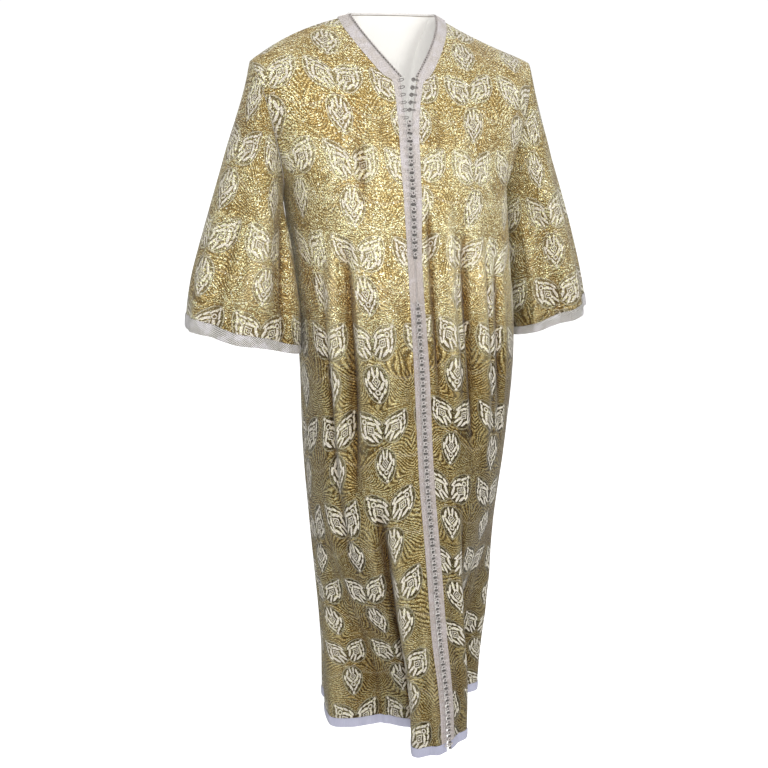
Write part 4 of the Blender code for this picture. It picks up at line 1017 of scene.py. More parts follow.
def ball(centre, radii, axes, rings=7, round_=12):
    """Rounded ball with its own three radii along three directions."""
    verts, faces, uvs = [], [], []
    a = 2 * math.pi * np.arange(round_) / round_
    lat = np.linspace(-math.pi / 2, math.pi / 2, rings + 2)[1:-1]
    for th in lat:
        ring = np.stack([np.cos(a) * math.cos(th) * radii[0], np.sin(a) * math.cos(th) * radii[1],
                         np.full(round_, math.sin(th) * radii[2])], -1)
        verts.append(ring)
    verts = np.concatenate(verts + [np.array([[0, 0, -radii[2]], [0, 0, radii[2]]])])
    low_i, top_i = rings * round_, rings * round_ + 1
    for j in range(rings - 1):
        for k in range(round_):
            k2 = (k + 1) % round_
            faces.append((j * round_ + k, j * round_ + k2, (j + 1) * round_ + k2, (j + 1) * round_ + k))
            x0, x1 = k / round_ * 0.02, (k + 1) / round_ * 0.02
            y0, y1 = j * 0.001, (j + 1) * 0.001
            uvs.append([(x0, y0), (x1, y0), (x1, y1), (x0, y1)])
    for k in range(round_):
        k2 = (k + 1) % round_
        faces.append((low_i, k2, k))
        uvs.append([(0, 0)] * 3)
        faces.append((top_i, (rings - 1) * round_ + k, (rings - 1) * round_ + k2))
        uvs.append([(0, 0)] * 3)
    axes = np.asarray(axes, float)
    return verts @ axes + np.asarray(centre)[None], faces, uvs


CROSS = np.array([0.0, 0.025, 0.08, 0.18, 0.32, 0.5, 0.68, 0.82, 0.92, 0.975, 1.0])


def ribbon(name, p, n, materials, thick, lift=None, wrap=False, ridge=0.0):
    """Flat woven strip on the cloth.  p is (along, across); its top is crowned."""
    lift = BRAID_LIFT if lift is None else lift
    across = p.shape[1]
    at = CROSS * (across - 1)
    i = np.minimum(at.astype(int), across - 2)
    f = (at - i)[None, :, None]
    q = p[:, i] * (1 - f) + p[:, i + 1] * f
    m = unit(n[:, i] * (1 - f) + n[:, i + 1] * f)
    crown = 0.40 + 0.60 * (1 - np.abs(2 * CROSS - 1) ** 5)
    crown = crown + ridge * (np.abs(np.abs(2 * CROSS - 1) - 0.84) < 0.07)
    hi = q + m * (lift + thick * crown)[None, :, None]
    lo = q + m * lift
    wide = np.concatenate([np.zeros((len(q), 1)),
                           np.cumsum(np.linalg.norm(np.diff(q, axis=1), axis=2), 1)], 1)
    mid = q[:, len(CROSS) // 2]
    if wrap:
        mid = np.concatenate([mid, mid[:1]])
    run = np.concatenate([[0.0], np.cumsum(np.linalg.norm(np.diff(mid, axis=0), axis=1))])
    if wrap:        # wrapped the other way about: across becomes the rows
        u = np.concatenate([wide, wide[:1]]).T
        v = np.broadcast_to(run[None, :], u.shape)
        return shell(name, hi.transpose(1, 0, 2), lo.transpose(1, 0, 2), m.transpose(1, 0, 2),
                     u, v, materials, wrap=True, smooth_from=70.0)
    v = np.broadcast_to(run[:, None], wide.shape)
    return shell(name, hi, lo, m, wide, v, materials, smooth_from=70.0)


# ---------------------------------------------------------------- node maths
class Sock:
    """A shader value that ordinary arithmetic can be written with."""

    def __init__(self, tree, out):
        self.tree, self.out = tree, out

    def __add__(self, b):
        return calc(self.tree, "ADD", self, b)

    def __sub__(self, b):
        return calc(self.tree, "SUBTRACT", self, b)

    def __mul__(self, b):
        return calc(self.tree, "MULTIPLY", self, b)

    def __truediv__(self, b):
        return calc(self.tree, "DIVIDE", self, b)

    __radd__ = __add__
    __rmul__ = __mul__

    def __rsub__(self, b):
        return calc(self.tree, "SUBTRACT", b, self)

    def __abs__(self):
        return calc(self.tree, "ABSOLUTE", self)


def wire(tree, socket, value):
    if isinstance(value, Sock):
        tree.links.new(value.out, socket)
    elif value is not None:
        socket.default_value = value


def calc(tree, op, *args, clamp=False):
    n = tree.nodes.new("ShaderNodeMath")
    n.operation, n.use_clamp = op, clamp
    for i, a in enumerate(args):
        wire(tree, n.inputs[i], a)
    return Sock(tree, n.outputs[0])


def low(a, b):
    return calc(a.tree, "MINIMUM", a, b)


def high(a, b):
    return calc(a.tree, "MAXIMUM", a, b)


def less(a, b):
    return calc(a.tree, "LESS_THAN", a, b)


def ramp(x, a, b, c=0.0, d=1.0):
    """c where x is a, d where x is b, smooth between them."""
    n = x.tree.nodes.new("ShaderNodeMapRange")
    n.interpolation_type = "SMOOTHSTEP"
    wire(x.tree, n.inputs["Value"], x)
    for name, v in (("From Min", a), ("From Max", b), ("To Min", c), ("To Max", d)):
        wire(x.tree, n.inputs[name], v)
    return Sock(x.tree, n.outputs[0])


def band(x, mid, half, soft):
    """1 within half of mid, fading over soft."""
    return ramp(abs(x - mid), half - soft, half + soft, 1.0, 0.0)


def mix(f, a, b):
    return a + f * (b - a)


def join(tree, x, y, z=0.0):
    n = tree.nodes.new("ShaderNodeCombineXYZ")
    for i, v in enumerate((x, y, z)):
        wire(tree, n.inputs[i], v)
    return Sock(tree, n.outputs[0])


def split(v):
    n = v.tree.nodes.new("ShaderNodeSeparateXYZ")
    wire(v.tree, n.inputs[0], v)
    return [Sock(v.tree, o) for o in n.outputs]


def weave_map(tree, name):
    n = tree.nodes.new("ShaderNodeUVMap")
    n.uv_map = name
    return Sock(tree, n.outputs[0])


def place(tree):
    n = tree.nodes.new("ShaderNodeTexCoord")
    return Sock(tree, n.outputs["Object"])


def noise(v, scale, detail=2.0, rough=0.5, lac=2.0, stretch=0.0, out="Fac"):
    n = v.tree.nodes.new("ShaderNodeTexNoise")
    n.noise_dimensions = "3D"
    wire(v.tree, n.inputs["Vector"], v)
    n.inputs["Scale"].default_value = scale
    n.inputs["Detail"].default_value = detail
    n.inputs["Roughness"].default_value = rough
    n.inputs["Lacunarity"].default_value = lac
    n.inputs["Distortion"].default_value = stretch
    return Sock(v.tree, n.outputs[out])


def cells(v, scale, feature="F1", out="Distance", random=1.0):
    n = v.tree.nodes.new("ShaderNodeTexVoronoi")
    n.feature = feature
    wire(v.tree, n.inputs["Vector"], v)
    n.inputs["Scale"].default_value = scale
    n.inputs["Randomness"].default_value = random
    return Sock(v.tree, n.outputs[out])


def scaled(v, sx, sy, sz=1.0):
    n = v.tree.nodes.new("ShaderNodeVectorMath")
    n.operation = "MULTIPLY"
    wire(v.tree, n.inputs[0], v)
    n.inputs[1].default_value = (sx, sy, sz)
    return Sock(v.tree, n.outputs[0])


def shade(tree, f, stops):
    """Colour ramp: stops are (place, (r, g, b))."""
    n = tree.nodes.new("ShaderNodeValToRGB")
    wire(tree, n.inputs[0], f)
    e = n.color_ramp.elements
    while len(e) < len(stops):
        e.new(0.5)
    for el, (p, c) in zip(e, stops):
        el.position, el.color = p, tuple(c) + (1.0,)
    return Sock(tree, n.outputs[0])


def blend_colour(tree, f, a, b, mode="MIX"):
    n = tree.nodes.new("ShaderNodeMix")
    n.data_type, n.blend_type = "RGBA", mode
    wire(tree, n.inputs[0], f)
    for i, v in ((6, a), (7, b)):
        wire(tree, n.inputs[i], v if isinstance(v, Sock) else tuple(v) + (1.0,))
    return Sock(tree, n.outputs[2])


def bump_from(tree, height, distance, strength=1.0):
    n = tree.nodes.new("ShaderNodeBump")
    n.inputs["Strength"].default_value = strength
    n.inputs["Distance"].default_value = distance
    wire(tree, n.inputs["Height"], height)
    return Sock(tree, n.outputs[0])


def new_material(name):
    ma = bpy.data.materials.new(name)
    ma.use_nodes = True
    tree = ma.node_tree
    bsdf = next(n for n in tree.nodes if n.type == "BSDF_PRINCIPLED")
    return ma, tree, bsdf


# ---------------------------------------------------------------- the brocade
# One repeat of the weave, in metres: a pair of leaves leaning apart from a
# joint, their tips meeting the next pair's, and one leaf hanging below.
REPEAT_WIDE, REPEAT_TALL = 0.1180, 0.1530
LEAF_LONG, LEAF_WIDE, LEAF_AT = 0.0720, 0.0500, 0.40
JOINT_UP = 0.0800
PAIR_TILT = 36.0
LINE_PITCH = 0.0035
# woven strokes in a leaf, in shares of its length and width from its heart:
# along, across, half long, half wide, turn
STROKES = (
    (-0.215, 0.080, 0.150, 0.045, -6.0),
    (-0.120, 0.245, 0.145, 0.052, 14.0),
    (0.045, 0.375, 0.110, 0.044, -6.0),
    (-0.040, 0.290, 0.070, 0.040, 52.0),
    (0.080, 0.215, 0.090, 0.050, -38.0),
    (0.170, 0.130, 0.095, 0.052, -52.0),
    (0.235, 0.275, 0.085, 0.042, -24.0),
    (0.345, 0.145, 0.075, 0.042, -24.0),
    (0.425, 0.060, 0.060, 0.042, -30.0),
    (0.515, 0.000, 0.045, 0.055, 0.0),
)
# openings cut back out of the strokes
WINDOWS = (
    (0.450, 0.000, 0.030, 0.034, 0.0),
)
RING_AT, RING_R = 0.275, 0.0038
GEM_AT, GEM_R = 0.010, 0.0062


GOLD_GAP, GOLD_MID = (0.125, 0.080, 0.024), (0.350, 0.246, 0.084)
GOLD_LINE, GOLD_LIT = (0.740, 0.585, 0.255), (1.000, 0.910, 0.560)
GAP_DEEP, GAP_LIT = (0.055, 0.044, 0.024), (0.420, 0.340, 0.170)
LEAF_DEEP, LEAF_LIT = (0.420, 0.385, 0.330), (0.800, 0.755, 0.690)
# painted shade: how dark the brocade is painted low down, and in the fold valleys
LOWER_FALLOFF_SHADE, VALLEY_SHADE = 0.70, 0.92
RIM = (0.780, 0.720, 0.560)


def leaf_reach(share):
    """Distance from a leaf's middle to its edge, by the share of a half turn."""
    ahead, behind, side = LEAF_LONG * (1 - LEAF_AT), LEAF_LONG * LEAF_AT, 0.5 * LEAF_WIDE
    s = np.linspace(-behind, ahead, 801)
    u = np.where(s < 0, -s / behind, s / ahead)
    w = side * np.where(s < 0, np.sqrt(np.clip(1 - u ** 2.1, 0, 1)),
                        np.clip(1 - u ** 2.15, 0, 1) ** 0.78)
    turn = np.arctan2(w, s) / np.pi
    reach = np.hypot(w, s)
    order = np.argsort(turn)
    return float(np.interp(share, turn[order], reach[order]))


def leaf_group():
    """Node group: a point in one leaf's own directions, and its distance out."""
    t = bpy.data.node_groups.new("leaf", "ShaderNodeTree")
    for name in ("X", "Y", "At X", "At Y", "Along X", "Along Y"):
        t.interface.new_socket(name, in_out="INPUT", socket_type="NodeSocketFloat")
    for name in ("Along", "Across", "Out"):
        t.interface.new_socket(name, in_out="OUTPUT", socket_type="NodeSocketFloat")
    gi, go = t.nodes.new("NodeGroupInput"), t.nodes.new("NodeGroupOutput")
    x, y, cx, cy, ax, ay = [Sock(t, gi.outputs[i]) for i in range(6)]
    dx, dy = x - cx, y - cy
    s = dx * ax + dy * ay
    c = abs(dx * ay - dy * ax)
    r = calc(t, "SQRT", s * s + c * c)
    n = t.nodes.new("ShaderNodeFloatCurve")
    turn = calc(t, "ARCTAN2", c, s) / math.pi
    wire(t, n.inputs["Value"], turn)
    pts = n.mapping.curves[0].points
    spots = [0.0, 0.03, 0.07, 0.12, 0.18, 0.26, 0.36, 0.48, 0.60, 0.72, 0.85, 1.0]
    while len(pts) < len(spots):
        pts.new(0.5, 0.5)
    for p, v in zip(pts, spots):
        p.location = (v, leaf_reach(v) / 0.05)
        p.handle_type = "AUTO_CLAMPED"
    n.mapping.update()
    reach = Sock(t, n.outputs[0]) * 0.05
    for i, v in enumerate((s, c, r - reach)):
        wire(t, go.inputs[i], v)
    return t


def leaf_at(tree, group, x, y, cx, cy, ax, ay):
    n = tree.nodes.new("ShaderNodeGroup")
    n.node_tree = group
    for i, v in enumerate((x, y, cx, cy, ax, ay)):
        wire(tree, n.inputs[i], v)
    return [Sock(tree, o) for o in n.outputs[:3]]


def ellipse(s, c, row):
    along, across, a, b, turn = row
    ds, dc = s - along * LEAF_LONG, c - across * LEAF_WIDE
    k, q = math.cos(math.radians(turn)), math.sin(math.radians(turn))
    u = (ds * k + dc * q) * (1.0 / (a * LEAF_LONG))
    v = (dc * k - ds * q) * (1.0 / (b * LEAF_WIDE))
    return calc(s.tree, "SQRT", u * u + v * v)


def pattern_group():
    """Node group: the woven pattern at a place on the cloth."""
    leaf = leaf_group()
    t = bpy.data.node_groups.new("brocade_pattern", "ShaderNodeTree")
    t.interface.new_socket("At", in_out="INPUT", socket_type="NodeSocketVector")
    for name in ("White", "Ring", "Line", "Inside", "Out"):
        t.interface.new_socket(name, in_out="OUTPUT", socket_type="NodeSocketFloat")
    gi, go = t.nodes.new("NodeGroupInput"), t.nodes.new("NodeGroupOutput")
    at = Sock(t, gi.outputs[0])
    # the loom is not perfect: small slow shifts of the whole figure
    wx, wy, _ = split(noise(at, 9.0, 1.0, out="Color"))
    fx, fy, _ = split(noise(at, 260.0, 1.0, out="Color"))
    u, v, _ = split(at)
    u = u + (wx - 0.5) * 0.020 + (fx - 0.5) * 0.0020
    v = v + (wy - 0.5) * 0.020 + (fy - 0.5) * 0.0020
    cell = u * (1.0 / REPEAT_WIDE)
    x = abs(cell - calc(t, "ROUND", cell)) * REPEAT_WIDE
    row = v * (1.0 / REPEAT_TALL)
    y = (row - calc(t, "FLOOR", row)) * REPEAT_TALL
    tilt = math.radians(PAIR_TILT)
    ax, ay = math.sin(tilt), math.cos(tilt)
    behind = LEAF_LONG * LEAF_AT
    px, py = 0.0060 + ax * behind * 0.98, JOINT_UP + 0.0045 + ay * behind
    hang = JOINT_UP - 0.0060 - behind
    spots = [(px, py, ax, ay), (px, py - REPEAT_TALL, ax, ay),
             (0.0, hang, 0.0, -1.0), (0.0, hang + REPEAT_TALL, 0.0, -1.0)]
    best = near = None
    for cx, cy, dx, dy in spots:
        new = leaf_at(t, leaf, x, y, cx, cy, dx, dy)
        if best is None:
            best, near = new, new[2]
        else:
            pick = less(new[2], best[2])
            best = [mix(pick, best[0], new[0]), mix(pick, best[1], new[1]), low(best[2], new[2])]
            near = calc(t, "SMOOTH_MIN", near, new[2], 0.035)
    s, c, d = best
    ring = band(d, -0.0010, 0.0013, 0.0005)
    body = ramp(d, -0.0032, -0.0026, 1.0, 0.0)
    strokes = holes = None
    for rowd in STROKES:
        h = ramp(ellipse(s, c, rowd), 0.86, 1.14, 1.0, 0.0)
        strokes = h if strokes is None else high(strokes, h)
    for rowd in WINDOWS:
        h = ramp(ellipse(s, c, rowd), 0.80, 1.15, 1.0, 0.0)
        holes = h if holes is None else high(holes, h)
    white = strokes * (1.0 - holes)
    ds = s - RING_AT * LEAF_LONG
    eye = calc(t, "SQRT", ds * ds + c * c)
    white = high(white * ramp(eye, RING_R + 0.0016, RING_R + 0.0023), band(eye, RING_R, 0.0012, 0.0005))
    gem = abs(s - GEM_AT * LEAF_LONG) * 0.75 + c * 1.05
    white = high(white, ramp(gem, GEM_R + 0.0022, GEM_R + 0.0028, 1.0, 0.0))
    white = white * ramp(gem, GEM_R - 0.0002, GEM_R + 0.0004)
    white = high(white, band(gem, 0.0030, 0.0009, 0.0004))
    white = white * body
    # little squares beside each joint, and a swag of them to the next one
    sq = high(abs(x - 0.0090), abs(y - (JOINT_UP - 0.0080)))
    knot_ = band(sq, 0.0030, 0.0008, 0.0004)
    swag = y - (JOINT_UP - 0.0260) - calc(t, "COSINE", x * (2 * math.pi / REPEAT_WIDE)) * 0.0100
    chain = high(abs(swag), abs(calc(t, "PINGPONG", x, 0.0035) - 0.00175))
    knot_ = high(knot_, band(chain, 0.00175, 0.0005, 0.0004) * band(swag, 0.0, 0.0028, 0.0004) * 0.55
                 * ramp(x, 0.020, 0.026))
    white = high(white, knot_ * ramp(d, 0.0006, 0.0016) * 0.70)
    # echo lines: rings that run out from the leaves
    slow = noise(at, 9.0, 1.0, 0.5)
    mid = noise(at, 34.0, 1.0)
    curl = noise(at, 21.0, 0.0)
    run = near * 0.55 + v * 0.55 + (slow - 0.5) * 0.042 + (curl - 0.5) * 0.014 + (mid - 0.5) * 0.0034
    line = calc(t, "COSINE", run * (2 * math.pi / LINE_PITCH)) * 0.5 + 0.5
    outside = ramp(d, 0.0000, 0.0012)
    for i, val in enumerate((white, ring, line * outside, ramp(d, -0.0004, 0.0004, 1.0, 0.0), d)):
        wire(t, go.inputs[i], val)
    return t


def brocade(name, pattern, shade_dim=1.0, highlight_share=1.0, map_name="Weave"):
    """Metal brocade: gold ground, cream echo lines, pale leaves, and bright flecks painted as glints of light;
    light and shade are painted in by height, fold and side.
    """
    ma, t, bsdf = new_material(name)
    at = weave_map(t, map_name)
    n = t.nodes.new("ShaderNodeGroup")
    n.node_tree = pattern
    wire(t, n.inputs[0], at)
    white, ring, line, inside, out = [Sock(t, o) for o in n.outputs[:5]]
    fleck = noise(at, 520.0, 1.0)
    fleck2 = noise(at, 235.0, 2.0, 0.6)
    patch = noise(at, 17.0, 2.0, 0.6)
    hue = noise(place(t), 7.0, 2.0, 0.5)
    # short floats of metal thread; their bright flecks are painted glints of light, gathered in patches and
    # denser high up
    broken = ramp(noise(at, 150.0, 1.0), 0.34, 0.56)
    grit = noise(at, 390.0, 1.0, 0.7)
    beads = ramp(fleck * 0.40 + grit * 0.60, 0.40, 0.60)
    glint_patches = ramp(patch, 0.32, 0.68)
    # upper_lit is 1 high on the garment and 0 low down; it steers painted light: more glints, lighter gaps,
    # softer lines and a brighter ground up high, where the light falls
    upper_lit = ramp(split(place(t))[2], -0.660, -0.440)
    dash, dash2, _ = split(cells(scaled(at, 380.0, 520.0), 1.0, out="Color"))
    painted_glints = ramp(grit * 0.50 + fleck2 * 0.30 + fleck * 0.20,
                 mix(glint_patches, 0.600, 0.545) - upper_lit * 0.020, mix(glint_patches, 0.660, 0.605) - upper_lit * 0.020)
    glint = ramp(dash, mix(glint_patches, 0.93, 0.80), mix(glint_patches, 0.95, 0.84)) * mix(upper_lit, 0.45, 1.0)
    painted_glints = high(painted_glints, glint)
    pit = ramp(dash2, 0.20, 0.14)
    clear = mix(glint_patches, 0.78, 1.22) * mix(broken, 0.66, 1.0) - upper_lit * 0.34
    mottle = ramp(noise(at, 58.0, 2.0, 0.65), 0.34, 0.66)
    lit = (0.43 + (line - 0.5) * clear) * mix(beads, 0.50, 1.50) * mix(mottle, 0.84, 1.14) \
        * mix(dash2, 0.70, 1.28)
    lit = high(lit, upper_lit * 0.24)
    base = shade(t, lit, [(0.04, GOLD_GAP), (0.36, GOLD_MID), (0.68, GOLD_LINE), (1.0, GOLD_LIT)])
    gaps = shade(t, beads * 0.5 + upper_lit * 0.38, [(0.0, GAP_DEEP), (1.0, GAP_LIT)])
    base = blend_colour(t, inside, base, gaps)
    warm = ramp(hue, 0.42, 0.68)
    base = blend_colour(t, warm * 0.42, base, (0.70, 0.52, 0.26), "MULTIPLY")
    pale = shade(t, fleck2 * 0.5 + beads * 0.5, [(0.10, LEAF_DEEP), (0.80, LEAF_LIT)])
    figure = white
    base = blend_colour(t, ring * (1.0 - white) * mix(beads, 0.55, 0.95), base, RIM)
    base = blend_colour(t, figure * mix(upper_lit * (1.0 - beads * 0.8), 1.0, 0.80), base, pale)
    # painted highlight: a pale gold band of sheen across the chest, in patches
    chest_highlight = upper_lit * ramp(split(place(t))[2], -0.140, -0.260)
    base = blend_colour(t, chest_highlight * mix(glint_patches, 0.02, 0.34) * mix(beads, 0.2, 1.0) * highlight_share, base,
                        (0.95, 0.90, 0.62))
    base = blend_colour(t, pit * 0.50 * (1.0 - figure), base, (0.42, 0.33, 0.20), "MULTIPLY")
    # painted glints: the bright flecks take a near-white colour of reflected light
    tint = shade(t, dash2, [(0.0, (1.0, 0.90, 0.52)), (0.5, (0.97, 1.0, 0.60)), (1.0, (1.0, 0.98, 0.86))])
    base = blend_colour(t, painted_glints * 0.95, base, tint)
    # painted shade in the fold valleys and a painted highlight on the crests, from the Crease map
    fold = split(weave_map(t, "Crease"))[0]
    valley = ramp(fold, 0.47, 0.02)
    crest_highlight = ramp(fold, 0.56, 0.86)
    base = blend_colour(t, valley * VALLEY_SHADE * (1.0 - figure * 0.5), base, (0.44, 0.33, 0.20), "MULTIPLY")
    base = blend_colour(t, crest_highlight * 0.22 * (1.0 - figure), base, (0.90, 0.82, 0.56))
    # painted shade: the brocade is darkened towards the bottom, where less light falls
    falloff_shade = shade(t, upper_lit, [(0.0, (LOWER_FALLOFF_SHADE * shade_dim, LOWER_FALLOFF_SHADE * shade_dim * 0.965, LOWER_FALLOFF_SHADE * shade_dim * 0.83)),
                            (1.0, (shade_dim, shade_dim * 0.98, shade_dim * 0.93))])
    base = blend_colour(t, 1.0 - figure * 0.6, base, falloff_shade, "MULTIPLY")
    # painted shade low down on the wearer's left side (+x)
    lee_shade = ramp(split(place(t))[0], -0.01, 0.09) * (1.0 - upper_lit) * (1.0 - figure)
    base = blend_colour(t, lee_shade, base, (0.74, 0.70, 0.62), "MULTIPLY")
    wire(t, bsdf.inputs["Base Color"], base)
    wire(t, bsdf.inputs["Metallic"], mix(high(figure, painted_glints * 0.4), 0.80, 0.20))
    rough = mix(figure, mix(beads, 0.52, 0.36), 0.48)
    wire(t, bsdf.inputs["Roughness"], mix(painted_glints, rough, 0.20))
    rise = high(line * 0.70 * (1.0 - inside), high(figure, ring)) + beads * 0.60 + grit * 0.50 + painted_glints * 0.6
    wire(t, bsdf.inputs["Normal"], bump_from(t, rise, 0.0008, 0.9))
    bsdf.inputs["Sheen Weight"].default_value = 0.15
    bsdf.inputs["Sheen Roughness"].default_value = 0.4
    return ma


# ---------------------------------------------------------------- other materials
def braid_material(name, tint, deep, twill=0.0016, shine=0.10, low_shade=0.0):
    """Woven braid: two diagonal ribs of thread, edge cords and a stitch line."""
    ma, t, bsdf = new_material(name)
    at = weave_map(t, "Weave")
    u, v, _ = split(at)
    k = 2 * math.pi / twill
    a = calc(t, "SINE", (u + v * 0.9) * k) * 0.5 + 0.5
    b = calc(t, "SINE", (u - v * 0.9) * k) * 0.5 + 0.5
    knit = a * b
    grain = noise(at, 900.0, 2.0, 0.6)
    slow = noise(place(t), 26.0, 3.0, 0.55)
    dots = ramp(knit * 0.75 + grain * 0.35, 0.22, 0.62)
    colour = shade(t, dots * 0.75 + slow * 0.25, [(0.12, deep), (0.85, tint)])
    cool = ramp(noise(place(t), 60.0, 2.0), 0.42, 0.66)
    colour = blend_colour(t, cool * 0.30, colour, (0.72, 0.70, 0.80))
    stitch = band(u - 0.0011, 0.0, 0.00035, 0.0002) * ramp(
        calc(t, "SINE", v * (2 * math.pi / 0.0026)), -0.2, 0.3)
    colour = blend_colour(t, stitch * 0.55, colour, (0.40, 0.37, 0.38))
    # painted shade: the braid darkens towards the bottom, where less light falls
    down = ramp(split(place(t))[2], -0.10, -0.55)
    colour = blend_colour(t, down * low_shade, colour, (0.63, 0.585, 0.56), "MULTIPLY")
    fleck = ramp(noise(at, 420.0, 1.0), 0.40, 0.60)
    colour = blend_colour(t, fleck * 0.55, colour, (0.60, 0.57, 0.56), "MULTIPLY")
    wire(t, bsdf.inputs["Base Color"], colour)
    wire(t, bsdf.inputs["Roughness"], mix(dots, 0.62, 0.42))
    wire(t, bsdf.inputs["Metallic"], dots * shine)
    wire(t, bsdf.inputs["Normal"], bump_from(t, dots + grain * 0.4 - stitch * 0.8, 0.0006, 0.8))
    bsdf.inputs["Sheen Weight"].default_value = 0.20
    return ma


def satin_material(name, tint, deep):
    """Smooth ribbon: fine threads across it, a stitch line along its upper edge."""
    ma, t, bsdf = new_material(name)
    at = weave_map(t, "Weave")
    u, v, _ = split(at)
    rib = noise(scaled(at, 60.0, 1400.0), 1.0, 2.0, 0.6)
    wide = noise(scaled(at, 8.0, 60.0), 1.0, 2.0, 0.5)
    slow = noise(place(t), 18.0, 3.0, 0.5)
    colour = shade(t, rib * 0.35 + wide * 0.30 + slow * 0.35, [(0.28, deep), (0.72, tint)])
    stitch = band(u - 0.0014, 0.0, 0.0004, 0.0002) * ramp(
        calc(t, "SINE", v * (2 * math.pi / 0.0030)), -0.2, 0.3)
    colour = blend_colour(t, stitch * 0.45, colour, (0.42, 0.42, 0.52))
    wire(t, bsdf.inputs["Base Color"], colour)
    wire(t, bsdf.inputs["Roughness"], mix(rib, 0.30, 0.44))
    wire(t, bsdf.inputs["Normal"], bump_from(t, rib * 0.5 + wide * 0.8 - stitch, 0.0004, 0.6))
    bsdf.inputs["Sheen Weight"].default_value = 0.12
    return ma


def cord_material(name, tint, deep, pitch=0.0011):
    """Twisted silk cord."""
    ma, t, bsdf = new_material(name)
    at = weave_map(t, "Weave")
    u, v, _ = split(at)
    ply = calc(t, "SINE", (v + u * 0.8) * (2 * math.pi / pitch)) * 0.5 + 0.5
    grain = noise(place(t), 1500.0, 2.0, 0.6)
    slow = noise(place(t), 90.0, 2.0, 0.5)
    f = ply * 0.55 + grain * 0.25 + slow * 0.30
    wire(t, bsdf.inputs["Base Color"], shade(t, f, [(0.20, deep), (0.80, tint)]))
    wire(t, bsdf.inputs["Roughness"], mix(ply, 0.55, 0.38))
    wire(t, bsdf.inputs["Normal"], bump_from(t, ply + grain * 0.4, 0.0004, 0.7))
    bsdf.inputs["Sheen Weight"].default_value = 0.15
    return ma


def lining_material(name):
    """Pale satin lining; its faint white glow is painted light, so that its shaded inside reads near white."""
    ma, t, bsdf = new_material(name)
    at = weave_map(t, "Weave")
    threads = noise(scaled(at, 900.0, 120.0), 1.0, 2.0, 0.6)
    slow = noise(place(t), 9.0, 2.0, 0.5)
    wire(t, bsdf.inputs["Base Color"],
         shade(t, threads * 0.3 + slow * 0.7, [(0.25, (0.78, 0.765, 0.74)), (0.75, (0.88, 0.87, 0.85))]))
    wire(t, bsdf.inputs["Roughness"], mix(threads, 0.42, 0.55))
    wire(t, bsdf.inputs["Normal"], bump_from(t, threads, 0.0002, 0.5))
    bsdf.inputs["Sheen Weight"].default_value = 0.10
    # painted light: a faint white glow, though the lining is no lamp
    bsdf.inputs["Emission Color"].default_value = (1.0, 1.0, 1.0, 1.0)
    bsdf.inputs["Emission Strength"].default_value = 0.11
    return ma


def floor_material(name):
    ma, t, bsdf = new_material(name)
    grain = noise(place(t), 3.0, 3.0, 0.5)
    wire(t, bsdf.inputs["Base Color"],
         shade(t, grain, [(0.3, (0.90, 0.90, 0.90)), (0.7, (0.93, 0.93, 0.93))]))
    wire(t, bsdf.inputs["Roughness"], mix(grain, 0.85, 0.95))
    bsdf.inputs["Specular IOR Level"].default_value = 0.1
    bsdf.inputs["Emission Color"].default_value = (1.0, 1.0, 1.0, 1.0)
    bsdf.inputs["Emission Strength"].default_value = 0.55
    return ma


# ---------------------------------------------------------------- materials in use
PATTERN = pattern_group()
BROCADE = brocade("gold_brocade", PATTERN)
# sleeves: the brocade darkened to 0.84 as painted shade, with less of the painted chest highlight
SLEEVE_BROCADE = brocade("gold_brocade_sleeve", PATTERN, 0.84, 0.45)
LINING = lining_material("ivory_lining")
BRAIDED = braid_material("pale_braid", (0.74, 0.700, 0.680), (0.44, 0.40, 0.38), 0.0019, low_shade=0.80)
CUFF = braid_material("cuff_braid", (0.84, 0.835, 0.80), (0.12, 0.11, 0.10), 0.0036)
SATIN = satin_material("blue_white_ribbon", (0.39, 0.394, 0.495), (0.235, 0.24, 0.325))
CORD = cord_material("silk_cord", (0.54, 0.50, 0.49), (0.16, 0.14, 0.14))
KNOT = cord_material("knot_cord", (0.62, 0.58, 0.56), (0.13, 0.11, 0.11), 0.0016)
SHADED_CORD = cord_material("shaded_cord", (0.27, 0.25, 0.24), (0.06, 0.055, 0.05))
LIT_CORD = cord_material("painted_lit_cord", (0.90, 0.88, 0.86), (0.66, 0.63, 0.62))
SEAM_SHADE = cord_material("painted_seam_shade", (0.36, 0.27, 0.12), (0.20, 0.14, 0.06))
EDGE_GAP_SHADE = cord_material("painted_edge_gap_shade", (0.10, 0.085, 0.07), (0.025, 0.020, 0.015))
KNOT_SHADE = cord_material("painted_knot_shade", (0.10, 0.09, 0.085), (0.025, 0.022, 0.020))


def place_piece(ob, slot, *nodes):
    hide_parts(*nodes)
    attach(ob, "root")
    return ob


# ---------------------------------------------------------------- cloth
CLOTH = {k: fine_panel(k) for k in ("right", "left", "back")}
for _side in ("right", "left"):
    CLOTH["sleeve_" + _side] = fine_sleeve(_side)
for _key, _node in (("right", "front_right"), ("left", "front_left"), ("back", "back"),
                    ("sleeve_right", "sleeve_right"), ("sleeve_left", "sleeve_left")):
    _c = CLOTH[_key]
    _wrap = _key.startswith("sleeve")
    _fu, _fv = figure_map(_key, _c["u"], _c["v"])
    # the cut edges of the cloth take a dark material: painted shade in the seams
    place_piece(
        shell("cloth_" + _node, _c["p"], _c["p"] - _c["n"] * WALL, _c["n"],
              _fu, _fv - 0.1765 + JOINT_UP, [SLEEVE_BROCADE if _wrap else BROCADE, LINING, SEAM_SHADE],
              wrap=_wrap, crease=_c["crease"]),
        "brocade", _node)

# ---------------------------------------------------------------- braids
B = F_BAND + 1
N0 = len(eased(F_NECK, True, False)) - 1          # last row of the neckline
TRIM = 0.5 * SEAM


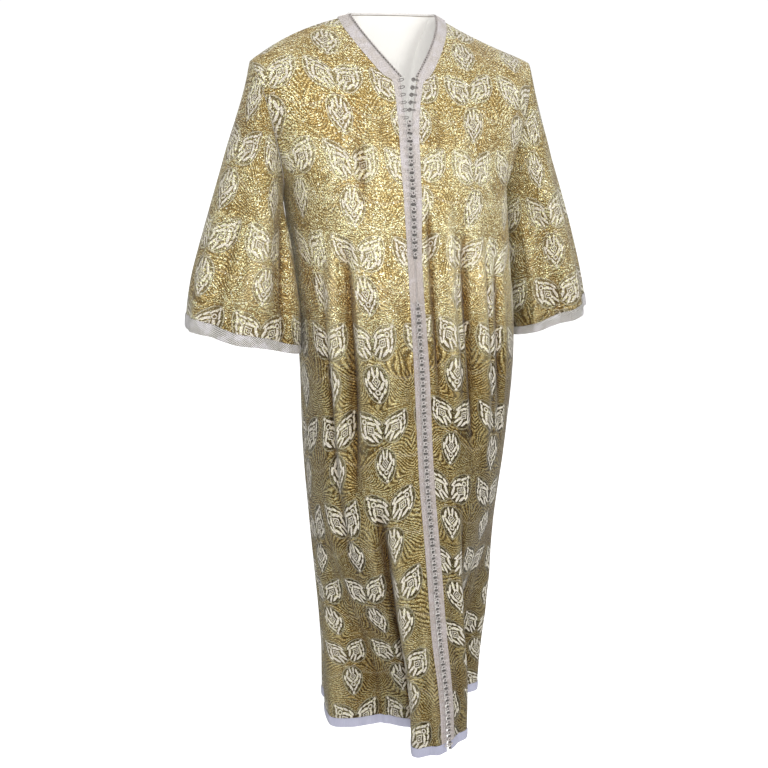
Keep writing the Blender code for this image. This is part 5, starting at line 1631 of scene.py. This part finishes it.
# Each front ribbon: how far it reaches over the opening's edge, and its half
# width from the middle of the opening, by drop.
STRIP_COLUMNS = ("drop", "over", "reach")
STRIPS = (
    (0.106, 0.0000, 0.0280), (0.150, 0.0002, 0.0215), (0.200, 0.0006, 0.0182),
    (0.300, 0.0006, 0.0160), (0.388, 0.0008, 0.0132), (0.410, 0.0046, 0.0128),
    (0.475, 0.0046, 0.0128), (0.500, 0.0010, 0.0132), (0.600, 0.0010, 0.0140),
    (0.900, 0.0010, 0.0140), (1.100, 0.0010, 0.0150), (1.345, 0.0010, 0.0162),
)


def front_strip(p, n):
    """Points and normals of a front ribbon beside and over the opening's edge."""
    drop = -p[:, 0, 2]
    gap = column(OPENING, OPENING_COLUMNS, "half_gap", drop)
    over = np.interp(drop, [r[0] for r in STRIPS], [r[1] for r in STRIPS])
    reach = np.interp(drop, [r[0] for r in STRIPS], [r[2] for r in STRIPS])
    step = np.linalg.norm(np.diff(p, axis=1), axis=2)
    arc = np.concatenate([np.zeros((len(p), 1)), np.cumsum(step, 1)], 1)
    q, m = np.zeros_like(p), np.zeros_like(n)
    for r in range(len(p)):
        wide = min(reach[r] - gap[r], arc[r, -1])
        if r == 0:
            wide = arc[r, -1]
        at = -over[r] + np.linspace(0, 1, p.shape[1]) * (wide + over[r])
        for j in range(3):
            q[r, :, j] = np.interp(at, arc[r], p[r, :, j])
            m[r, :, j] = np.interp(at, arc[r], n[r, :, j])
        ahead = unit(p[r, 1] - p[r, 0])
        q[r] += ahead * np.minimum(at, 0.0)[:, None]
    return q, unit(m)


def end_in(p, first, last):
    q = p.copy()
    if first:
        q[0] += unit(p[1] - p[0]) * TRIM
    if last:
        q[-1] += unit(p[-2] - p[-1]) * TRIM
    return q


for _side in ("right", "left"):
    _p, _n = CLOTH[_side]["p"], CLOTH[_side]["n"]
    place_piece(ribbon("braid_neck_" + _side, end_in(_p[:N0 + 1, :B], False, True), _n[:N0 + 1, :B],
                       [BRAIDED], BRAID_THICK, ridge=0.10), "braid", "neck_braid_" + _side)
    _e = len(_p) - 1 - F_HEM
    _q, _m = front_strip(_p[N0:_e + 1, :B], _n[N0:_e + 1, :B])
    place_piece(ribbon("braid_front_" + _side, end_in(_q, True, True), _m, [BRAIDED],
                       BRAID_THICK, ridge=0.10),
                "braid", "front_braid_" + _side)
    place_piece(ribbon("braid_hem_front_" + _side, _p[_e:].transpose(1, 0, 2),
                       _n[_e:].transpose(1, 0, 2), [SATIN], BRAID_THICK),
                "hem_braid", "hem_braid_front_" + _side)
_p, _n = CLOTH["back"]["p"], CLOTH["back"]["n"]
_e = len(_p) - 1 - F_HEM
place_piece(ribbon("braid_hem_back", _p[_e:].transpose(1, 0, 2), _n[_e:].transpose(1, 0, 2),
                   [SATIN], BRAID_THICK), "hem_braid", "hem_braid_back")
for _side in ("right", "left"):
    _c = CLOTH["sleeve_" + _side]
    place_piece(ribbon("braid_cuff_" + _side, _c["p"][-6:].transpose(1, 0, 2),
                       _c["n"][-6:].transpose(1, 0, 2), [CUFF], BRAID_THICK, wrap=True),
                "hem_braid", "cuff_braid_" + _side)

# back of the neck: out from the neckline over the cloth
_cols = CLOTH["back"]["cols"][1]
_in = np.nonzero((_cols >= BACK_SHOULDER - 1e-9) & (_cols <= 1 - BACK_SHOULDER + 1e-9))[0]
_fine = back_top(np.linspace(0, 1, 161), np.linspace(0, 1, 81))[0]
_fine_n = grid_normals(_fine, False)
_k = np.linspace(0.0, 1.0, 61)
_walk, _way = walk_from_neck(neck_back(_k), _fine, _fine_n, NECK_BRAID, 6)
_walk[0, :, 1] += TRIM + 0.0001
_walk[-1, :, 1] += TRIM + 0.0001
_lift = surface_normals(_walk, _fine, _fine_n)
for _end in (0, -1):
    _lift[_end] = unit(_lift[_end] * np.array([1.0, 0.0, 1.0]))
BACK_NECK = place_piece(ribbon("braid_neck_back", _walk, _lift, [BRAIDED], BRAID_THICK,
                               lift=0.0016, ridge=0.10), "braid", "neck_braid_back")

# ---------------------------------------------------------------- knotted neck edging
_path, _out, _nor = [], [], []
for _side in ("right", "left"):
    _p, _n = CLOTH[_side]["p"][:N0 + 1], CLOTH[_side]["n"][:N0 + 1]
    _w = unit(_p[:, 0] - _p[:, 1])
    _o = slice(None, None, -1 if _side == "right" else 1)
    _path.append(_p[_o, 0]), _out.append(_w[_o]), _nor.append(_n[_o, 0])
_path = np.concatenate([_path[0], _walk[2:-2, 0], _path[1]])
_out = np.concatenate([_out[0], -_way[2:-2], _out[1]])
_nor = np.concatenate([_nor[0], _lift[2:-2, 0], _nor[1]])
_run = np.concatenate([[0.0], np.cumsum(np.linalg.norm(np.diff(_path, axis=0), axis=1))])
EDGE_LENGTH = float(_run[-1])
_s = np.linspace(0.0, EDGE_LENGTH, 361)


def along(values, s):
    return np.stack([np.interp(s, _run, values[:, j]) for j in range(3)], -1)


def eased_rows(values, rounds=10):
    for _ in range(rounds):
        values[1:-1] = 0.25 * values[:-2] + 0.5 * values[1:-1] + 0.25 * values[2:]
    return values


_base, _ow, _nw = along(_path, _s), unit(eased_rows(along(_out, _s))), unit(eased_rows(along(_nor, _s)))
EDGING = Heap()
_front = int(np.searchsorted(_s, _run[N0]))           # where the front neckline meets the back
# a dark cord under the front edging: painted shade in the gaps between its knots
for _part in (slice(0, _front), slice(len(_s) - _front, None)):
    _v, _f, _t = cord_path((_base + _ow * 0.0017 + _nw * 0.0009)[_part], 0.00110, 6)
    EDGING.add(_v, _f, _t, 1)
# the back of the edging is drawn in a lighter copy of the cord: painted light against the shade at the back neck
_parts = ((slice(0, _front + 1), 0), (slice(_front, len(_s) - _front), 2), (slice(len(_s) - _front - 1, None), 0))
for _part, _kind in _parts:
    _v, _f, _t = cord_path((_base + _ow * 0.0016 - _nw * 0.0004)[_part], 0.00080, 6)
    EDGING.add(_v, _f, _t, _kind)
_wave = 0.00025 * np.sin(_s * 2 * math.pi / 0.0072)
for _part, _kind in _parts:
    _v, _f, _t = cord_path((_base + _ow * (0.0030 + _wave)[:, None] + _nw * 0.0008)[_part], 0.00085, 7)
    EDGING.add(_v, _f, _t, _kind)
_count = int(EDGE_LENGTH / 0.0056)
for _i in range(_count):
    _at = (_i + 0.5) / _count * EDGE_LENGTH
    _j = int(round(_at / EDGE_LENGTH * 360))
    _c = _base[_j] + _ow[_j] * 0.0018 + _nw[_j] * 0.0014
    _tang = np.cross(_ow[_j], _nw[_j])
    _v, _f, _t = ball(_c, (0.0025, 0.0015, 0.0016), (_ow[_j], unit(_tang), _nw[_j]), 6, 10)
    EDGING.add(_v, _f, _t, 2 if _front < _j < len(_s) - _front else 0)
place_piece(EDGING.build("edging_neck", [CORD, EDGE_GAP_SHADE, LIT_CORD]), "cord", "neck_edging")


# ---------------------------------------------------------------- buttons and loops
def front_edges(drop):
    """Edge points and normals of both fronts at a drop, right then left."""
    ends = []
    for side in ("right", "left"):
        p, n = CLOTH[side]["p"], CLOTH[side]["n"]
        rows = slice(N0, None)
        z = -p[rows, 0, 2]
        at = np.array([np.interp(drop, z, p[rows, 0, j]) for j in range(3)])
        far = np.array([np.interp(drop, z, p[rows, 3, j]) for j in range(3)])
        nor = unit(np.array([np.interp(drop, z, n[rows, 0, j]) for j in range(3)]))
        ends.append((at, unit(far - at), nor))
    return ends


def jitter(i, k):
    return float(hashed(np.float64(i), np.float64(k), 5.0)) * 2.0 - 1.0


def knot(heap, c, nor, across, size=1.0, turn=0.0):
    """Ball knot of pale cord: a core, a ring in front and strands round it; the core is drawn in the second, dark
    material as painted shade in the knot's hollows.
    """
    nor = unit(np.asarray(nor))
    across = unit(across - nor * (across @ nor))
    up = np.cross(nor, across)
    ca, sa = math.cos(turn), math.sin(turn)
    x, y = across * ca + up * sa, up * ca - across * sa
    # the core: painted shade inside the knot
    v, f, t = ball(c, (0.0030 * size, 0.0030 * size, 0.0026 * size), (x, y, nor), 5, 10)
    heap.add(v, f, t, 1)
    a = 2 * math.pi * np.arange(14) / 14
    ring = c + nor * 0.0019 * size + (np.cos(a)[:, None] * x + np.sin(a)[:, None] * y) * 0.0022 * size
    v, f, t = cord_path(ring, 0.00078 * size, 6, up=nor, closed=True)
    heap.add(v, f, t, 0)
    for tilt in (0.62, -0.62):
        m = unit(nor * math.cos(tilt) + x * math.sin(tilt))
        e = unit(np.cross(m, y))
        b = np.cross(m, e)
        loop = c + (np.cos(a)[:, None] * e + np.sin(a)[:, None] * b) * 0.0029 * size
        v, f, t = cord_path(loop, 0.00080 * size, 5, up=m, closed=True)
        heap.add(v, f, t, 0)


def button_row(name, first, last, node, gap):
    heap = Heap()
    count = int(round((last - first) / BEAD_PITCH))
    for i in range(count):
        d = first + (i + 0.5) * (last - first) / count
        (pr, wr, nr), (pl, wl, nl) = front_edges(d)
        nor = unit(nr + nl)
        c = 0.5 * (pr + pl) + nor * (BEAD_UP + 0.0012)
        c = c + (pl - pr) * (0.10 * jitter(i, 1)) + np.array([0, 0, 1.0]) * 0.0009 * jitter(i, 2)
        knot(heap, c, nor, pl - pr, 1.18 + 0.06 * jitter(i, 3), turn=1.2 * jitter(i, 4))
        # dark ball in the opening between two knots: painted shade for the gap
        shade_ball_at = 0.5 * (pr + pl) + nor * 0.0042 - np.array([0, 0, 0.5 * BEAD_PITCH])
        v, f, t = ball(shade_ball_at, (gap + 0.0008 * jitter(i, 11), 0.0026, 0.0014), (unit(pl - pr), np.array([0, 0, 1.0]), nor), 5, 10)
        heap.add(v, f, t, 1)
        for dz in (-0.0011, 0.0011):
            a = pl + wl * 0.0030 + nl * 0.0022 + np.array([0, 0, dz])
            b = 0.5 * (a + c) + nor * 0.0010
            v, f, t = cord_path(np.stack([a, b, c + np.array([0, 0, dz])]), 0.0009, 6)
            heap.add(v, f, t, 0)
    return place_piece(heap.build(name, [KNOT, KNOT_SHADE]), "button", node)


def loop_row(name, first, last, node, closed_from):
    heap = Heap()
    count = int(round((last - first) / BEAD_PITCH))
    for i in range(count):
        d = first + (i + 0.5) * (last - first) / count
        (pr, wr, nr), (pl, wl, nl) = front_edges(d)
        nor = unit(nr + nl)
        z = np.array([0, 0, 1.0])
        root = pr + wr * 0.0040 + nr * 0.0023
        if d < closed_from:
            reach, tall = 0.0058, 0.0029
        else:
            reach, tall = float(np.linalg.norm(pl - pr)) * 0.5 + 0.0035, 0.0040
        way = unit(pl - pr) if d >= closed_from else unit(-wr + nr * 0.1)
        w = np.linspace(0, math.pi, 13)
        x = np.sin(w) ** 0.8 * (reach + 0.0040)
        y = np.cos(w) * tall * (0.55 + 0.45 * np.sin(w))
        lift = 0.0004 * np.sin(w) * (1 if d >= closed_from else 0)
        pts = root + way[None] * x[:, None] + z[None] * (y + 0.0004 * jitter(i, 7))[:, None] \
            + nor[None] * (lift - 0.0006 * np.sin(w) ** 2)[:, None]
        v, f, t = cord_path(pts, 0.00080, 6)
        # loops above closed_from take a darker copy of the cord: painted shade
        heap.add(v, f, t, 0 if d >= closed_from else 2)
        # wrapped root of the loop
        v, f, t = ball(pr + wr * 0.0038 + nr * 0.0024, (0.0016, 0.0030, 0.0009),
                       (wr, z, nr), 5, 10)
        heap.add(v, f, t, 0)
    return place_piece(heap.build(name, [CORD, KNOT_SHADE, SHADED_CORD]), "cord", node)


loop_row("loops_upper_cord", *BUTTONS_OPEN_TO_CHEST, "loops_upper", BUTTONS_CHEST[0])
loop_row("loops_lower_cord", *BUTTONS_LOWER, "loops_lower", 0.0)
button_row("buttons_chest_knots", *BUTTONS_CHEST, "buttons_chest", 0.0044)
button_row("buttons_lower_knots", *BUTTONS_LOWER, "buttons_lower", 0.0037)
for _i in range(OPEN_BUTTONS):
    _d = BUTTONS_OPEN_FROM + _i * BEAD_PITCH
    (_pr, _wr, _nr), (_pl, _wl, _nl) = front_edges(_d)
    _way = unit(-_wl + np.array([0.0, -0.10, -0.10 + 0.08 * jitter(_i, 9)]))
    _heap = Heap()
    _c = _pl + _way * 0.0068
    knot(_heap, _c, unit(_nl + np.array([0, -0.3, 0])), _way, 1.05, turn=0.8 * jitter(_i, 4))
    for _dz in (-0.0010, 0.0010):
        _a = _pl + _wl * 0.0030 + _nl * 0.0022 + np.array([0, 0, _dz])
        _m = _pl - _wl * 0.0010 + _nl * 0.0018 + np.array([0, 0, _dz])
        _v, _f, _t = cord_path(np.stack([_a, _m, _c + np.array([0, 0, _dz])]), 0.0008, 6)
        _heap.add(_v, _f, _t, 0)
    # open knots: a darker copy of the cord and a dark core, painted shade
    place_piece(_heap.build("button_open_knot_%d" % (_i + 1), [SHADED_CORD, KNOT_SHADE]), "button",
                "button_open_%d" % (_i + 1))

# ---------------------------------------------------------------- cut sizes
SHEETS = ("right", "left", "back", "sleeve_right", "sleeve_left")


def one_side(grid, wrap=False):
    """Area of the cloth that a grid stands for."""
    g = np.concatenate([grid, grid[:, :1]], 1) if wrap else grid
    a, b, c, d = g[:-1, :-1], g[:-1, 1:], g[1:, 1:], g[1:, :-1]
    return float(0.5 * (np.linalg.norm(np.cross(b - a, c - a), axis=2)
                        + np.linalg.norm(np.cross(c - a, d - a), axis=2)).sum())


for _key in SHEETS:
    _area = one_side(CLOTH[_key]["p"], _key.startswith("sleeve"))
    _ring = CLOTH[_key]["u"]
    _wide = float(np.max(_ring.max(1) - _ring.min(1)))
    _tall = float(np.max(CLOTH[_key]["v"].max(0) - CLOTH[_key]["v"].min(0)))
    print("sheet", _key, "area", round(_area, 4), "widest", round(_wide, 4), "longest", round(_tall, 4),
          "share", round(_area / (_wide * _tall), 3))

# ---------------------------------------------------------------- stage
ROOM_LOW, ROOM_HIGH, ROOM_TOP = 0.23, 0.88, 0.50
FLOOR_AT = -HEM_DROP - 0.160
_bm = bmesh.new()
bmesh.ops.create_grid(_bm, x_segments=24, y_segments=24, size=60.0)
_me = bpy.data.meshes.new("floor")
_bm.to_mesh(_me)
_bm.free()
_me.materials.append(floor_material("pale_floor"))
FLOOR = bpy.data.objects.new("floor", _me)
FLOOR.location = (0.0, 0.0, FLOOR_AT)
bpy.context.scene.collection.objects.link(FLOOR)
FLOOR.visible_glossy = False

WORLD = bpy.data.worlds.new("studio")
bpy.context.scene.world = WORLD
WORLD.use_nodes = True
_t = WORLD.node_tree
_bg = next(n for n in _t.nodes if n.type == "BACKGROUND")
_lp = _t.nodes.new("ShaderNodeLightPath")
_side, _, _dir = split(Sock(_t, _t.nodes.new("ShaderNodeTexCoord").outputs["Generated"]))
# a bright soft box high in front, a dimmer room below it
_room = ramp(_dir, -0.12, 0.34, ROOM_LOW, ROOM_HIGH) + ramp(_dir, 0.55, 1.0, 0.0, ROOM_TOP - ROOM_HIGH)
_room = _room * (1.0 + _side * 0.18)
wire(_t, _bg.inputs["Strength"], mix(Sock(_t, _lp.outputs["Is Camera Ray"]), _room, 1.05))
_bg.inputs["Color"].default_value = (1.0, 1.0, 1.0, 1.0)


def soft_light(name, where, aim, size, power, colour=(1.0, 1.0, 1.0)):
    li = bpy.data.lights.new(name, "AREA")
    li.shape, li.size, li.energy, li.color = "DISK", size, power, colour
    ob = bpy.data.objects.new(name, li)
    ob.location = where
    ob.rotation_euler = (Vector(aim) - Vector(where)).to_track_quat("-Z", "Y").to_euler()
    bpy.context.scene.collection.objects.link(ob)
    return ob


soft_light("key", (-0.25, -2.5, 0.10), (0.0, 0.0, -0.30), 1.5, 46.0, (1.0, 0.985, 0.95))
soft_light("top", (-0.5, -0.8, 1.9), (0.0, 0.0, -0.2), 1.4, 12.0, (1.0, 0.96, 0.88))

# ---------------------------------------------------------------- camera
_az, _far, _high, _dip = math.radians(-15.6), 2.221, -0.128, math.radians(13.76)
CAMERA = bpy.data.objects.new("camera", bpy.data.cameras.new("camera"))
CAMERA.data.sensor_width = 36.0
CAMERA.data.lens = 1200.0 / 768.0 * 36.0
CAMERA.data.clip_start, CAMERA.data.clip_end = 0.05, 60.0
_fwd = Vector((-math.sin(_az) * math.cos(_dip), math.cos(_az) * math.cos(_dip), -math.sin(_dip)))
_right = Vector((math.cos(_az), math.sin(_az), 0.0))
_up = _right.cross(_fwd)
CAMERA.matrix_world = Matrix((
    (_right.x, _up.x, -_fwd.x, math.sin(_az) * _far - 0.016),
    (_right.y, _up.y, -_fwd.y, -math.cos(_az) * _far),
    (_right.z, _up.z, -_fwd.z, _high),
    (0.0, 0.0, 0.0, 1.0)))
bpy.context.scene.collection.objects.link(CAMERA)
bpy.context.scene.camera = CAMERA
bpy.context.scene.view_settings.view_transform = "Standard"
